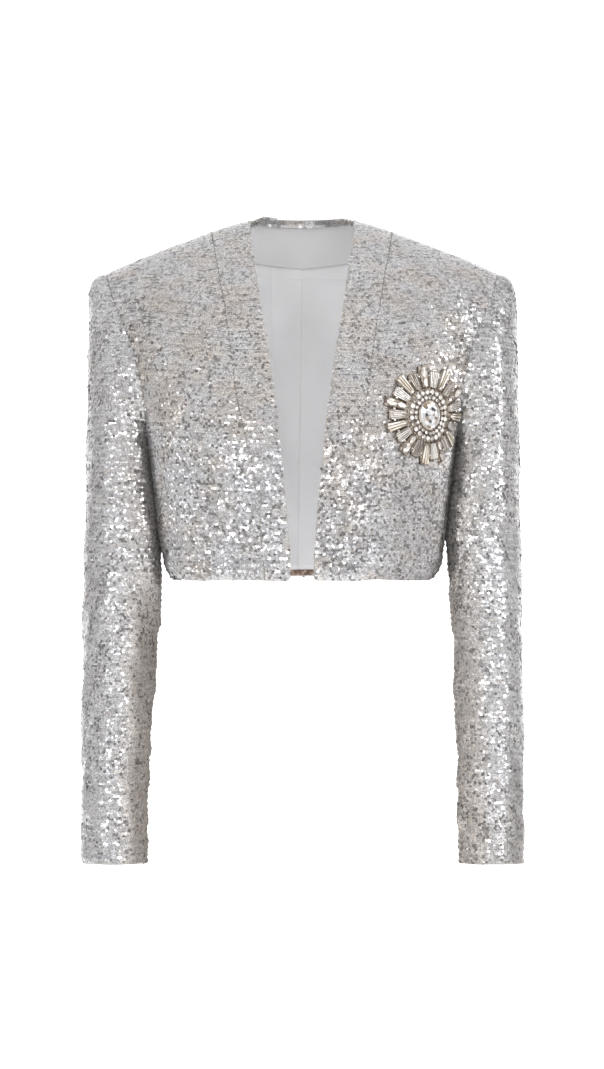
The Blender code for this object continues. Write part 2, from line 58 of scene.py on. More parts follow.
def set_inputs(node, inputs):
    """Give a node's inputs other nodes' outputs or plain values."""
    for name, value in inputs.items():
        if isinstance(value, bpy.types.NodeSocket):
            node.id_data.links.new(value, node.inputs[name])
        else:
            node.inputs[name].default_value = value


def add_node(tree, kind, output, inputs=None, stops=(), **settings):
    """Add a shader node and return an output; a ramp's stops are places and hex colours."""
    made = tree.nodes.new("ShaderNode" + kind)
    for name, value in settings.items():
        setattr(made, name, value)
    if stops:
        ramp = made.color_ramp.elements
        for k in (0, -1):
            ramp[k].position, ramp[k].color = stops[k][0], linear(stops[k][1])
        for place, code in stops[1:-1]:
            ramp.new(place).color = linear(code)
    set_inputs(made, inputs or {})
    return made.outputs[output]


def new_finish(name):
    """A new material and its node tree."""
    made = bpy.data.materials.new(name)
    made.use_nodes = True
    return made, made.node_tree


def set_finish(material, **values):
    """Set the material's Principled shader to plain values or other nodes' outputs."""
    shader = material.node_tree.nodes["Principled BSDF"]
    set_inputs(shader, {name.replace("_", " "): value for name, value in values.items()})


# Knitted mesh ground: matt, with a fine rib at the stitch spacing that breaks its colour.
ground, tree = new_finish("knitted polyester mesh")
place = add_node(tree, "TexCoord", "Object")
rib = add_node(tree, "TexVoronoi", "Distance", {"Vector": place, "Scale": 1000 / STITCH_MM})
colour = add_node(tree, "ValToRGB", "Color", {"Fac": rib}, ((0.2, GROUND), (0.8, GROUND_SHADE)))
bump = add_node(tree, "Bump", "Normal", {"Height": rib, "Distance": 0.0003})
set_finish(ground, Base_Color=colour, Normal=bump, Roughness=0.85, Sheen_Weight=0.2)

# Satin on the inside of fronts and sleeves: smooth, and softly bright where it is lit.
inside, _ = new_finish("polyester lining satin")
set_finish(inside, Base_Color=linear(INSIDE_SATIN), Roughness=0.42)


def pick(piece):
    """Deselect everything, then select and activate one piece."""
    bpy.ops.object.select_all(action="DESELECT")
    piece.select_set(True)
    bpy.context.view_layer.objects.active = piece


WALL_CORNER = math.radians(50)
WELD = 0.00002


def sort_sides(shell, axis_x, shown_inside):
    """Slot 0 for the shown side of a wall, 1 for its other side and 2 for its edges."""
    shape = bmesh.new()
    shape.from_mesh(shell.data)
    crease = shape.edges.layers.float.new("crease_edge")
    for edge in shape.edges:
        if len(edge.link_faces) == 2 and edge.calc_face_angle(0) > WALL_CORNER:
            edge[crease] = 1.0
    for face in shape.faces:
        face.material_index = 2
        face.smooth = True
    groups = []
    seen = set()
    for face in shape.faces:
        if face in seen:
            continue
        seen.add(face)
        group = [face]
        for member in group:
            for edge in member.edges:
                if edge[crease]:
                    continue
                for other in edge.link_faces:
                    if other not in seen:
                        seen.add(other)
                        group.append(other)
        away = 0.0
        for member in group:
            centre = member.calc_center_median()
            out = Vector((centre.x - axis_x, centre.y, 0)).normalized()
            away += member.normal.dot(out) * member.calc_area()
        groups.append((away, group))
    groups.sort(key=lambda pair: pair[0])
    for face in groups[-1][1]:
        face.material_index = 1 if shown_inside else 0
    for face in groups[0][1]:
        face.material_index = 0 if shown_inside else 1
    shape.to_mesh(shell.data)
    shape.free()


def cloth_shell(node, name, rounds, looks, axis_x=0.0, shown_inside=False, cuts=()):
    """A merged and finer copy of a solid cloth wall, which it replaces.

    Each cut is a point and a direction: the cloth gets a line of its own there.
    """
    shell = bpy.data.objects.new(name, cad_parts[node].data.copy())
    bpy.context.scene.collection.objects.link(shell)
    pick(shell)
    bpy.ops.mesh.customdata_custom_splitnormals_clear()
    bpy.ops.object.mode_set(mode="EDIT")
    bpy.ops.mesh.select_all(action="SELECT")
    bpy.ops.mesh.remove_doubles(threshold=WELD)
    bpy.ops.mesh.tris_convert_to_quads(face_threshold=math.radians(40),
                                       shape_threshold=math.radians(70))
    for point, direction in cuts:
        bpy.ops.mesh.select_all(action="SELECT")
        bpy.ops.mesh.bisect(plane_co=point, plane_no=direction)
    bpy.ops.object.mode_set(mode="OBJECT")
    shell.data.materials.clear()
    for look in looks:
        shell.data.materials.append(look)
    sort_sides(shell, axis_x, shown_inside)
    finer = shell.modifiers.new("Finer cloth", "SUBSURF")
    finer.levels = finer.render_levels = rounds
    bpy.ops.object.modifier_apply(modifier=finer.name)
    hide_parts(node)
    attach(shell, "root")
    return shell


def points_of(piece):
    places = np.empty(len(piece.data.vertices) * 3)
    piece.data.vertices.foreach_get("co", places)
    return places.reshape(-1, 3)


def put_points(piece, places):
    piece.data.vertices.foreach_set("co", places.ravel())
    piece.data.update()


def within(values):
    """Values cut to run from 0 to 1."""
    return np.clip(values, 0, 1)


def below(places, height, fade):
    """0 above a height, rising to 1 over the fade below it, in metres."""
    return within((height - places[:, 2]) / fade)


def bell(values, middle, width):
    """1 at the middle, falling to about a third a width away."""
    return np.exp(-((values - middle) / width) ** 2)


# Long soft waves of the cloth, as direction, wavelength and height in millimetres.
WAVES = (
    ((0.3, 0.2, 1.0), 31, 0.34),
    ((1.0, 0.4, 0.5), 43, 0.42),
    ((-0.8, 0.7, 0.6), 27, 0.26),
    ((0.6, -1.0, -0.4), 57, 0.45),
    ((-0.2, 0.5, 1.0), 19, 0.16),
)


def unevenness(places):
    """How far the cloth's own soft waves move it out, in metres."""
    out = np.zeros(len(places))
    for k, (direction, wavelength, height) in enumerate(WAVES):
        way = np.array(direction) / np.linalg.norm(direction)
        phase = places @ way * 1000 * 2 * math.pi / wavelength
        out += height * np.sin(phase + 1.7 * k + 0.6 * np.sin(phase * 0.37 + k))
    return out / 1000


# Creases of the sleeves: height, turn round the sleeve from its outer line by the
# front, how far round and up they reach, depth and slant, in millimetres and degrees.
CREASES = (
    (-120, 55, 60, 9, 1.2, 14), (-205, 70, 60, 10, 1.4, -12), (-262, 150, 55, 8, 1.8, 12),
    (-330, 60, 50, 9, 1.2, -10), (-352, 175, 50, 7, 1.8, 10), (-395, 130, 65, 8, 2.0, -9),
    (-432, 40, 55, 9, 1.6, 8), (-452, 165, 60, 7, 2.0, 7), (-492, 100, 60, 8, 1.7, -12),
    (-520, 155, 55, 6, 2.2, 6), (-548, 60, 60, 8, 1.6, 10), (-566, 160, 60, 6, 2.2, -6),
    (-590, 120, 55, 7, 1.8, 8), (-612, 165, 50, 5, 2.2, 5), (-630, 50, 60, 7, 1.6, -8),
    (-650, 150, 60, 5, 2.0, 6), (-300, 250, 60, 10, 1.6, 10), (-385, 290, 60, 9, 1.8, -10),
    (-440, 240, 60, 9, 2.0, 8), (-505, 300, 60, 8, 1.6, -8), (-570, 250, 70, 8, 2.0, 9),
    (-622, 290, 60, 7, 1.8, -6),
)
SLEEVE_AXIS = ((-680, 197.5, -38), (-587, 197.5, -27), (-479, 194.5, -14), (-390, 191, -5),
               (-270, 195, 0), (-60, 205, 3))


def sleeve_axis(heights):
    rows = np.array(SLEEVE_AXIS)
    return np.interp(heights, rows[:, 0], rows[:, 1]), np.interp(heights, rows[:, 0], rows[:, 2])


def sleeve_push(places, side):
    """Unit directions out of the sleeve, and how far its creases go in, in metres."""
    flat = places * 1000
    middle_x, middle_y = sleeve_axis(flat[:, 2])
    out = np.stack([flat[:, 0] * side - middle_x, flat[:, 1] - middle_y,
                    np.zeros(len(flat))], axis=1)
    turn = np.degrees(np.arctan2(-out[:, 1], out[:, 0])) % 360
    depth = np.zeros(len(flat))
    for k, (height, middle, reach, tall, deep, slant) in enumerate(CREASES):
        # The right sleeve's creases lie a little elsewhere than the left one's.
        if side < 0:
            height += 9 * math.sin(2.1 * k)
            middle += 16 * math.sin(1.3 * k)
        aside = (turn - middle + 180) % 360 - 180
        along = (flat[:, 2] - height - slant * aside / reach) / tall
        fade = np.where(abs(aside) < reach, np.cos(np.pi / 2 * aside / reach) ** 2, 0)
        # Each crease has a lower ridge above it.
        depth += deep * fade * (bell(along, 0, 1) - 0.45 * bell(along, 1.9, 1))
    out /= np.linalg.norm(out, axis=1)[:, None]
    out[:, 0] *= side
    return out, depth / 1000


# Soft drags of the body cloth: distance aside, height, length along, half width, depth
# and the way they run, in millimetres and degrees; on the front and on the back.
FRONT_DRAGS = (
    (150, -232, 46, 10, 1.8, 62), (128, -300, 40, 12, 1.3, 100), (64, -262, 50, 11, 1.1, 70),
    (96, -345, 38, 10, 1.2, 12), (140, -352, 26, 8, 1.4, 14), (60, -330, 40, 12, 0.9, 85),
)
BACK_DRAGS = (
    (150, -228, 55, 11, 2.0, 58), (120, -290, 50, 13, 1.5, 80), (40, -300, 70, 15, 1.1, 92),
    (70, -345, 45, 10, 1.3, 8), (20, -150, 50, 16, 0.9, 88), (110, -130, 60, 14, 1.2, 75),
)


def body_push(places):
    """Unit directions out of the body, and how far its drags go in, in metres."""
    flat = places * 1000
    out = places * (1, 1, 0)
    out /= np.maximum(np.linalg.norm(out, axis=1), 1e-6)[:, None]
    depth = np.zeros(len(flat))
    side = np.sign(flat[:, 0])
    for drags, face in ((FRONT_DRAGS, -1), (BACK_DRAGS, 1)):
        fade_y = within(face * flat[:, 1] / 30 + 0.3)
        for k, (aside, height, length, wide, deep, run) in enumerate(drags):
            # On the right side the drags lie a little higher or lower.
            level = height + np.where(side > 0, 0, 12 * math.sin(2 + k))
            away = abs(flat[:, 0]) - aside
            up = flat[:, 2] - level
            turn = math.radians(run)
            along = (away * math.cos(turn) + up * math.sin(turn)) / length
            across = (up * math.cos(turn) - away * math.sin(turn)) / wide
            depth += deep * fade_y * np.exp(-along ** 2 - across ** 2)
    return out, depth / 1000


# The cloth lies still under the sunburst on the left chest, where it has no sequins.
SUNBURST = np.array((0.128, -0.083, -0.2155))
STILL_REACH = 0.055
BARE_REACH = 0.042


def still(places, reach):
    """0 under the sunburst, rising to 1 away from it."""
    away = np.linalg.norm(places - SUNBURST, axis=1)
    return within((away - reach) / 0.02)


# Under the arms the sleeve and the side of the body hang against each other.
CLEFT_LEVELS = (-0.366, -0.334, -0.247, -0.237)
SLEEVE_BULGE = 0.0014
BODY_BULGE = 0.0005


def cleft(places):
    """1 where sleeve and body hang side by side, fading to 0 around it."""
    beside = np.interp(places[:, 2], CLEFT_LEVELS, (0, 1, 1, 0))
    return beside * within(1.5 - abs(places[:, 1]) / 0.04)


HEM = -0.384
HEM_ROUND = 0.005
HEM_FADE = 0.03


def hem_rise(places):
    """How far the hem rises and falls round the body, in metres, fading out above it."""
    turn = np.arctan2(places[:, 0], -places[:, 1])
    rise = 0.0006 * np.sin(9 * turn + 1) + 0.0004 * np.sin(17 * turn + 2)
    # At the centre back the hem stands up a little.
    rise += np.where(places[:, 1] > 0, 0.0018 * bell(places[:, 0], 0, 0.013), 0)
    return rise * below(places, HEM + HEM_FADE, HEM_FADE)


def round_corner(shell):
    """Round the low corner of a front band, where its free edge meets the hem."""
    places = points_of(shell)
    across = abs(places[:, 0])
    edge = across[places[:, 2] < HEM + 0.001].min()
    past = np.clip(HEM_ROUND - (across - edge), 0, HEM_ROUND)
    lift = HEM_ROUND - np.sqrt(HEM_ROUND ** 2 - past ** 2)
    places[:, 2] += lift * within(1 - (places[:, 2] - HEM) / 0.014)
    put_points(shell, places)


def settle_body(shell):
    """Give a body panel, or what lies under it, the body's drags and unevenness."""
    places = points_of(shell)
    out, depth = body_push(places)
    calm = below(places, -0.06, 0.08) * still(places, STILL_REACH)
    close = cleft(places) * within((abs(places[:, 0]) - 0.135) / 0.01)
    push = calm * (1 - close) * (unevenness(places) - depth) + close * BODY_BULGE
    moved = places + out * push[:, None]
    moved[:, 2] += hem_rise(places)
    put_points(shell, moved)


# How far the outer side of the right sleeve hangs in, by height.
SLACK_LEVELS = (-0.45, -0.24, -0.2, -0.1, -0.08)
SLACK = (0.0011, 0.0015, 0.0022, 0.0022, 0.0)

SIDES = ((-1, "right"), (1, "left"))
cloth_looks = (ground, inside, ground)
sleeve_shells = {}
body_shells = {}
for side, word in SIDES:
    sleeve = cloth_shell("sleeve_" + word, "sleeve_cloth_" + word, 2, cloth_looks, side * 0.196)
    places = points_of(sleeve)
    out, depth = sleeve_push(places, side)
    calm = below(places, -0.085, 0.05)
    close = cleft(places) * within(-out[:, 0] * side * 2.2 - 0.6)
    push = calm * (1 - close) * (unevenness(places) * 1.2 - depth) + close * SLEEVE_BULGE
    if side < 0:
        slack = np.interp(places[:, 2], SLACK_LEVELS, SLACK)
        push -= slack * within(out[:, 0] * side * 1.5)
    put_points(sleeve, places + out * push[:, None])
    sleeve_shells[side] = sleeve
    for part in ("side_front_", "front_band_"):
        body_shells[part + word] = cloth_shell(part + word, part + "cloth_" + word, 2,
                                               cloth_looks)
body_shells["back_panel"] = cloth_shell("back_panel", "back_cloth", 2, cloth_looks)
for name, shell in body_shells.items():
    if "band" in name:
        round_corner(shell)
    settle_body(shell)

# Back lining: pale grey satin with a centre pleat folded to the wearer's right, a faint
# pressed line beside it and one across.  A curved facing of the same satin joins it to
# the neck, where the sequin cloth turns in as a narrow strip, as it does at the hem.

LINING_SATIN = "#faf9f9"
PLEAT_TOP = (0.0, -0.043)
PLEAT_LOW = (-0.0055, -0.372)
PLEAT_DEEP = 0.0016
PLEAT_SPREAD = 0.017
PRESSED_ASIDE = -0.0335
PRESSED_HEIGHT = -0.0536
PRESSED_WIDE = 0.0009
LINING_LOW = -0.360

satin, tree = new_finish("pale grey satin")
place = add_node(tree, "TexCoord", "Object")
cloud = add_node(tree, "TexNoise", "Fac", {"Vector": place, "Scale": 14.0, "Detail": 3.0})
soft = add_node(tree, "ValToRGB", "Color", {"Fac": cloud},
                ((0.35, "#f4f3f3"), (0.65, LINING_SATIN)))
# Painted shade: the satin is darker towards the bottom.
height = add_node(tree, "SeparateXYZ", "Z", {"Vector": place})
drop = add_node(tree, "MapRange", "Result",
                {"Value": height, "From Min": -0.38, "From Max": -0.20})
shade = add_node(tree, "ValToRGB", "Color", {"Fac": drop}, ((0.0, "#e4e4e5"), (1.0, "#ffffff")))
colour = add_node(tree, "Mix", 2, {0: 1.0, 6: soft, 7: shade}, data_type="RGBA",
                  blend_type="MULTIPLY")
threads = add_node(tree, "TexWave", "Fac", {"Vector": place, "Scale": 900.0, "Distortion": 1.5},
                   bands_direction="X")
bump = add_node(tree, "Bump", "Normal", {"Height": threads, "Distance": 0.00004})
set_finish(satin, Base_Color=colour, Normal=bump, Roughness=0.38, Sheen_Weight=0.25,
           Sheen_Roughness=0.4)

slant = Vector((PLEAT_TOP[1] - PLEAT_LOW[1], 0, -(PLEAT_TOP[0] - PLEAT_LOW[0]))).normalized()
pleat_cuts = [((PLEAT_TOP[0] + shift, 0, PLEAT_TOP[1]), slant)
              for shift in (-0.0012, 0.0, 0.0007, 0.003)]
pressed_cuts = [((PRESSED_ASIDE + shift, 0, 0), (1, 0, 0)) for shift in (-0.0008, 0, 0.0008)]
pressed_cuts += [((0, 0, PRESSED_HEIGHT + shift), (0, 0, 1)) for shift in (-0.0008, 0, 0.0008)]
lining = cloth_shell("back_lining", "back_lining_satin", 1, (satin, inside, satin),
                     shown_inside=True, cuts=pleat_cuts + pressed_cuts)
settle_body(lining)
places = points_of(lining)
line = PLEAT_TOP[0] + (PLEAT_LOW[0] - PLEAT_TOP[0]) * within(
    (PLEAT_TOP[1] - places[:, 2]) / (PLEAT_TOP[1] - PLEAT_LOW[1]))
beyond = places[:, 0] - line
down = np.where(beyond > 0.0004, PLEAT_DEEP * within(1 - beyond / PLEAT_SPREAD), 0)
down -= 0.0007 * bell(places[:, 0], PRESSED_ASIDE, PRESSED_WIDE)
down -= 0.0006 * bell(places[:, 2], PRESSED_HEIGHT, PRESSED_WIDE)
places[:, 1] += down
# The lining's hem hangs a little over the top of the hem turn.
places -= below(places, LINING_LOW, 0.012)[:, None] * (0, 0.0014, 0.0026)
put_points(lining, places)


def neck_lift(across):
    """How far the back neck edge stands up beside the high points, in metres."""
    return 0.0030 * bell(across, -0.044, 0.009) + 0.0016 * bell(across, 0.050, 0.008)


def inside_sheet(name, node, looks, shape, thickness, counts):
    """A thin sheet laid inside the back.

    For a place, shape gives where to look from, which way, how far at most and the lift.
    """
    bpy.ops.object.select_all(action="DESELECT")
    bpy.ops.mesh.primitive_grid_add(x_subdivisions=counts[0], y_subdivisions=counts[1], size=2)
    sheet = bpy.context.object
    sheet.name = sheet.data.name = name
    places = points_of(sheet)
    for k, (share, down) in enumerate(places[:, :2]):
        start, way, most, lift = shape(share, (1 - down) / 2)
        start, way = Vector(start), Vector(way).normalized()
        for dip in (0.0, 0.001, 0.002, 0.003):
            hit, place, normal, _ = back.ray_cast(start - Vector((0, 0, dip)), way)
            if hit and normal.dot(way) < -0.2:
                break
        away = min(most, (place - start).dot(way)) if hit else most
        places[k] = start + way * (away - lift)
    put_points(sheet, places)
    for look in looks:
        sheet.data.materials.append(look)
    wall = sheet.modifiers.new("Wall", "SOLIDIFY")
    wall.thickness = thickness
    wall.offset = -1
    wall.material_offset = 1
    wall.material_offset_rim = 2
    bpy.ops.object.modifier_apply(modifier=wall.name)
    bpy.ops.object.shade_smooth()
    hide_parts(node)
    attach(sheet, "root")
    return sheet


back = body_shells["back_panel"]
places = points_of(back)
places[:, 2] += neck_lift(places[:, 0]) * within(1 + places[:, 2] / 0.02)
put_points(back, places)
NECK_HALF = 0.0546


def back_neck(aside):
    """Height of the back neck edge."""
    return -0.0025 + 0.0085 * max(0, 1 - abs(aside / 0.055) ** 6) + float(neck_lift(aside))


def strip_height(aside):
    return 0.0064 + 0.0020 * math.cos(math.pi / 2 * aside / NECK_HALF) - 0.012 * aside


def strip_shape(share, fall):
    """Rays round the neck, that stop where the shoulders turn the cloth away."""
    aside = 0.055 * math.sin(math.pi / 2 * share * 0.97)
    depth = 0.049 * math.sqrt(1 - abs(aside / 0.055) ** 2.2)
    drop = strip_height(aside) * fall
    start = (0, 0.008, back_neck(aside) + 0.0004 - drop)
    return start, (aside, depth, 0), math.hypot(aside, depth) + 0.5 * drop, 0.0021


def facing_shape(share, fall):
    top = share * NECK_HALF
    aside = share * (NECK_HALF + 0.012 * fall)
    high = back_neck(top) - strip_height(top) + 0.0025
    low = -0.0446 + 0.0050 * min(1.0, abs(aside) / 0.05) ** 1.1
    start = (aside, -0.3, high + (low - high) * fall)
    return start, (0, 1, 0), 0.4, 0.0011 + 0.0034 * fall ** 1.5


facing_satin, _ = new_finish("warm grey satin")
set_finish(facing_satin, Base_Color=linear("#dad9d9"), Roughness=0.4, Sheen_Weight=0.2)
facing = inside_sheet("back_neck_facing_satin", "back_neck_facing",
                      (facing_satin, inside, facing_satin),
                      facing_shape, 0.0007, (60, 24))
neck_strip = inside_sheet("back_neck_strip_cloth", "back_neck_strip", (ground, ground, ground),
                          strip_shape, 0.0009, (70, 6))

# The hem turn: brown grey with dark flecks, partly the cloth's own colour and partly painted
# shade.
turned, tree = new_finish("hem turn cloth with painted shade")
place = add_node(tree, "TexCoord", "Object")
flecks = add_node(tree, "TexVoronoi", "Distance", {"Vector": place, "Scale": 300.0})
colour = add_node(tree, "ValToRGB", "Color", {"Fac": flecks},
                  ((0.15, "#d2c6bc"), (0.4, "#9a7f70"), (0.75, "#6b5a50")))
bump = add_node(tree, "Bump", "Normal", {"Height": flecks, "Distance": 0.0004})
set_finish(turned, Base_Color=colour, Normal=bump, Roughness=0.8)
hem_turn = cloth_shell("back_hem_turn", "back_hem_turn_cloth", 1, (turned, turned, turned),
                       shown_inside=True)
settle_body(hem_turn)

# Sequins: flat round foils of a little over 3 mm, sewn through the ground in rows a little
# over 2 mm apart.  Every third row stands out more, and each sequin leans its own way,
# so that single ones flash.  Their colours run from silver to taupe and mauve brown.

SEQUIN_MM = 3.3
ROW_MM = 2.15
ALONG_MM = 2.9
ROWS_TO_LOOSE = 3
# Leans and sizes of the loose rows and of the others, and how far leans and rolls
# spread, in degrees; on the arms and on the body.
ARM_LEAN = (11.0, 4.0)
BODY_LEAN = (14.5, 8.5)
ARM_SPREAD = (3.8, 2.8)
BODY_SPREAD = (4.2, 3.2)
SIZES = (1.14, 0.96)
# Neighbours share part of their lean and tone: degrees, and share of dark sequins, for
# each metre of unevenness.
GLINT_PATCHES = 5000.0
DARK_PATCHES = 200.0
# Each row leans as a whole too, and round the front of the armholes all spread more.
ROW_SPREAD = 1.2
TOUSLED = 1.7
# Tones from 0 to 1: the middle and spread of most sequins, the range of the dark ones.
TONES = (0.62, 0.15)
DARK_TONES = (0.08, 0.36)
DARK_SHARE = 0.15
SEQUIN_SIDES = 8
SEAM_CLEAR_MM = 1.2
EDGE_CLEAR_MM = 1.5
DART_CLEAR_MM = 1.3
ROLL_MM = 100.0


def shoulder_line(across):
    """Height of the shoulder seam in millimetres at a distance from the centre."""
    share = within((across - 55) / 153)
    bow = 3.5 * (1 - share ** 7) * (1 - np.exp(-share / 0.07))
    return -2.5 - 57 * share + bow


# Below the shoulder seam the cloth rolls over from flat to upright: the length of cloth
# along that quarter of an oval, which the rows are measured on.
ROLL_TURNS = np.linspace(0, math.pi / 2, 60)
ROLL_STEPS = np.hypot(75 * np.cos(ROLL_TURNS), ROLL_MM * np.sin(ROLL_TURNS))
ROLL_LENGTHS = np.concatenate(
    [[0], np.cumsum((ROLL_STEPS[1:] + ROLL_STEPS[:-1]) / 2) * (ROLL_TURNS[1] - ROLL_TURNS[0])])


def cut_height(places, slope):
    """Height on the flat cut of a body panel, in millimetres; rows follow it."""
    flat = places * 1000
    across = abs(flat[:, 0])
    top = shoulder_line(across)
    drop = np.clip(top - flat[:, 2], 0, ROLL_MM)
    length = np.interp(np.arccos(1 - drop / ROLL_MM), ROLL_TURNS, ROLL_LENGTHS)
    level = top - ROLL_MM + ROLL_LENGTHS[-1] - length + np.clip(flat[:, 2] - top, 0, 20)
    level = np.where(drop < ROLL_MM, level, flat[:, 2])
    slide = slope * within((flat[:, 2] + 384) / 330)
    return level - slide * (across - 80)


def sleeve_height(places):
    """Height on the flat cut of a sleeve, in millimetres."""
    flat = places * 1000
    head = within((flat[:, 2] + 130) / 50)
    return flat[:, 2] + 0.55 * head * (232 - abs(flat[:, 0]))


def outer_surface(shell):
    """Points, triangles, smooth normals and border points of a shell's outer side."""
    mesh = shell.data
    mesh.calc_loop_triangles()
    corners = np.empty(len(mesh.loop_triangles) * 3, np.int32)
    mesh.loop_triangles.foreach_get("vertices", corners)
    slots = np.empty(len(mesh.loop_triangles), np.int32)
    mesh.loop_triangles.foreach_get("material_index", slots)
    triangles = corners.reshape(-1, 3)
    places = points_of(shell)
    rim = np.intersect1d(triangles[slots == 0], triangles[slots == 2])
    triangles = triangles[slots == 0]
    a, b, c = (places[triangles[:, k]] for k in range(3))
    faces = np.cross(b - a, c - a)
    normals = np.zeros_like(places)
    for k in range(3):
        np.add.at(normals, triangles[:, k], faces)
    lengths = np.linalg.norm(normals, axis=1)
    normals /= np.where(lengths > 0, lengths, 1)[:, None]
    return places, triangles, normals, places[rim]


def level_lines(surface, levels, turns, gap):
    """Where a surface meets evenly spaced levels: (row, start, end) pairs in order.

    Each pair holds a place and a normal at both ends, and turns puts them in order.
    """
    places, triangles, normals, _ = surface
    h = levels[triangles]
    first = np.ceil(h.min(1) / gap).astype(int)
    count = np.maximum(0, np.floor(h.max(1) / gap).astype(int) - first + 1)
    owner = np.repeat(np.arange(len(triangles)), count)
    row = first[owner] + np.arange(len(owner)) - np.repeat(np.cumsum(count) - count, count)
    ends = []
    hits = []
    both = np.concatenate([places, normals, turns[:, None]], axis=1)
    for k in range(3):
        low = triangles[owner, k]
        high = triangles[owner, (k + 1) % 3]
        rise = levels[high] - levels[low]
        share = (row * gap - levels[low]) / np.where(rise == 0, 1e-9, rise)
        hits.append((share >= 0) & (share < 1))
        ends.append(both[low] + (both[high] - both[low]) * within(share)[:, None])
    ends = np.stack(ends, axis=1)
    order = np.argsort(~np.stack(hits, axis=1), axis=1, kind="stable")[:, :2]
    good = np.stack(hits, axis=1).sum(axis=1) == 2
    pair = np.take_along_axis(ends, order[:, :, None], axis=1)
    swap = pair[:, 0, 6] > pair[:, 1, 6]
    pair[swap] = pair[swap][:, ::-1]
    good &= pair[:, 1, 6] - pair[:, 0, 6] < 3
    row, pair = row[good], pair[good]
    order = np.lexsort((pair[:, :, 6].mean(1), row))
    return row[order], pair[order]


def strewn(row, pair, along, chance):
    """Places evenly along each row: row number, place, normal and direction along it."""
    steps = np.linalg.norm(pair[:, 1, :3] - pair[:, 0, :3], axis=1)
    found = []
    for number in np.unique(row):
        here = np.flatnonzero(row == number)
        run = np.cumsum(steps[here])
        phase = (0.25 + 0.5 * (number % 2)) * along
        spots = np.arange(phase, run[-1], along)
        spots = np.clip(spots + chance.normal(0, 0.09 * along, len(spots)), 0, run[-1] * 0.9999)
        which = np.searchsorted(run, spots)
        share = 1 - (run[which] - spots) / np.maximum(steps[here][which], 1e-9)
        start, end = pair[here[which], 0], pair[here[which], 1]
        mixed = start + (end - start) * within(share)[:, None]
        found.append(np.concatenate([np.full((len(spots), 1), number), mixed[:, :6],
                                     end[:, :3] - start[:, :3]], axis=1))
    found = np.concatenate(found)
    return found[:, 0].astype(int), found[:, 1:4], found[:, 4:7], found[:, 7:10]


def unit(vectors):
    return vectors / np.maximum(np.linalg.norm(vectors, axis=1), 1e-12)[:, None]


def near_any(places, marks, reach):
    """Which places lie within reach of any mark, found through a coarse grid."""
    cells = {}
    for k, cell in enumerate(map(tuple, np.floor(marks / reach).astype(int))):
        cells.setdefault(cell, []).append(k)
    close = np.zeros(len(places), bool)
    steps = [(a, b, c) for a in (-1, 0, 1) for b in (-1, 0, 1) for c in (-1, 0, 1)]
    for k, cell in enumerate(map(tuple, np.floor(places / reach).astype(int))):
        for step in steps:
            group = cells.get((cell[0] + step[0], cell[1] + step[1], cell[2] + step[2]))
            if group and np.min(np.linalg.norm(marks[group] - places[k], axis=1)) < reach:
                close[k] = True
                break
    return close


# Sequin foil: metallised plastic under a pearly film, each one in its own tone, with a
# warmer film on the chest.  Painted shade makes it warmer on the inner sides of the sleeves,
# and darker on rougher foil low on those sides, on the left cuff's outer side and low on
# the left front.  Fine speckles of wear and thread break its shine everywhere.
SPECKLE_MM = 1.25
foil, tree = new_finish("silver sequin foil")
place = add_node(tree, "TexCoord", "Object")
speckle = add_node(tree, "TexVoronoi", "Distance", {"Vector": place, "Scale": 1000 / SPECKLE_MM})
tone, warm, shade_and_dullness = (add_node(tree, "Attribute", "Fac", attribute_name=label)
                    for label in ("tone", "warm", "shade_and_dullness"))
colour = add_node(tree, "ValToRGB", "Color", {"Fac": tone},
                  ((0.0, "#73696a"), (0.2, "#9f9e9f"), (0.4, "#d2d1d3"), (0.7, "#ecebec"),
                   (0.87, "#e6e3e0"), (1.0, "#d6cdc7")))
# Of these veils the warm one is a tint on the chest and painted shade on the inner sleeves, the
# speckle is wear and thread, and the last is painted shade on rougher foil.
for cause, stops in ((warm, ((0.0, "#fcfeff"), (0.5, "#fcf6ee"), (1.0, "#c4beb7"))),
                     (speckle, ((0.1, "#ffffff"), (0.75, "#b0aeac"))),
                     (shade_and_dullness, ((0.0, "#ffffff"), (1.0, "#b8b4b0")))):
    veil = add_node(tree, "ValToRGB", "Color", {"Fac": cause}, stops)
    colour = add_node(tree, "Mix", 2, {0: 1.0, 6: colour, 7: veil}, data_type="RGBA",
                      blend_type="MULTIPLY")
rough = add_node(tree, "MapRange", "Result", {"Value": shade_and_dullness, "To Min": 0.19, "To Max": 0.5})
set_finish(foil, Base_Color=colour, Roughness=rough, Metallic=0.6, Specular_IOR_Level=0.6)

rims = {shell.name: outer_surface(shell)[3]
        for shell in [*sleeve_shells.values(), *body_shells.values()]}
SEAM_REACH = 0.0035


def sewn_and_free(shell):
    """Border points of a shell that meet another shell, and those that are free."""
    own = rims[shell.name]
    others = np.concatenate([rim for name, rim in rims.items() if name != shell.name])
    sewn = near_any(own, others, SEAM_REACH)
    return own[sewn], own[~sewn]


def even_along(chance, count):
    """Random values that neighbours along a row partly share."""
    loose = chance.normal(0, 1, count)
    shared = (loose + np.roll(loose, 1) + np.roll(loose, -1)) / math.sqrt(3)
    return 0.8 * shared + 0.6 * chance.normal(0, 1, count)


def inwards(places, normals):
    """How far a surface faces the middle of the body: 1 for fully, -1 for away from it."""
    return -normals[:, 0] * np.sign(places[:, 0])


def tint_and_shade_places(arm, places, normals):
    """0 for cool silver to 1 for a warm film: a tint on the chest, painted shade on the inner
    sleeves.
    """
    if not arm:
        return (0.07 + 0.22 * bell(places[:, 2], -0.16, 0.09)
                + 240 * unevenness(places * 0.9 - 1.7))
    # On the sleeves the warmth is painted shade, on their inner sides and most low down.
    inner = within(inwards(places, normals) * 1.5 - 0.25)
    low = below(places, -0.18, 0.25)
    return 0.16 * low * within(inner * 3) + 0.24 * inner * (0.5 + 0.5 * low)


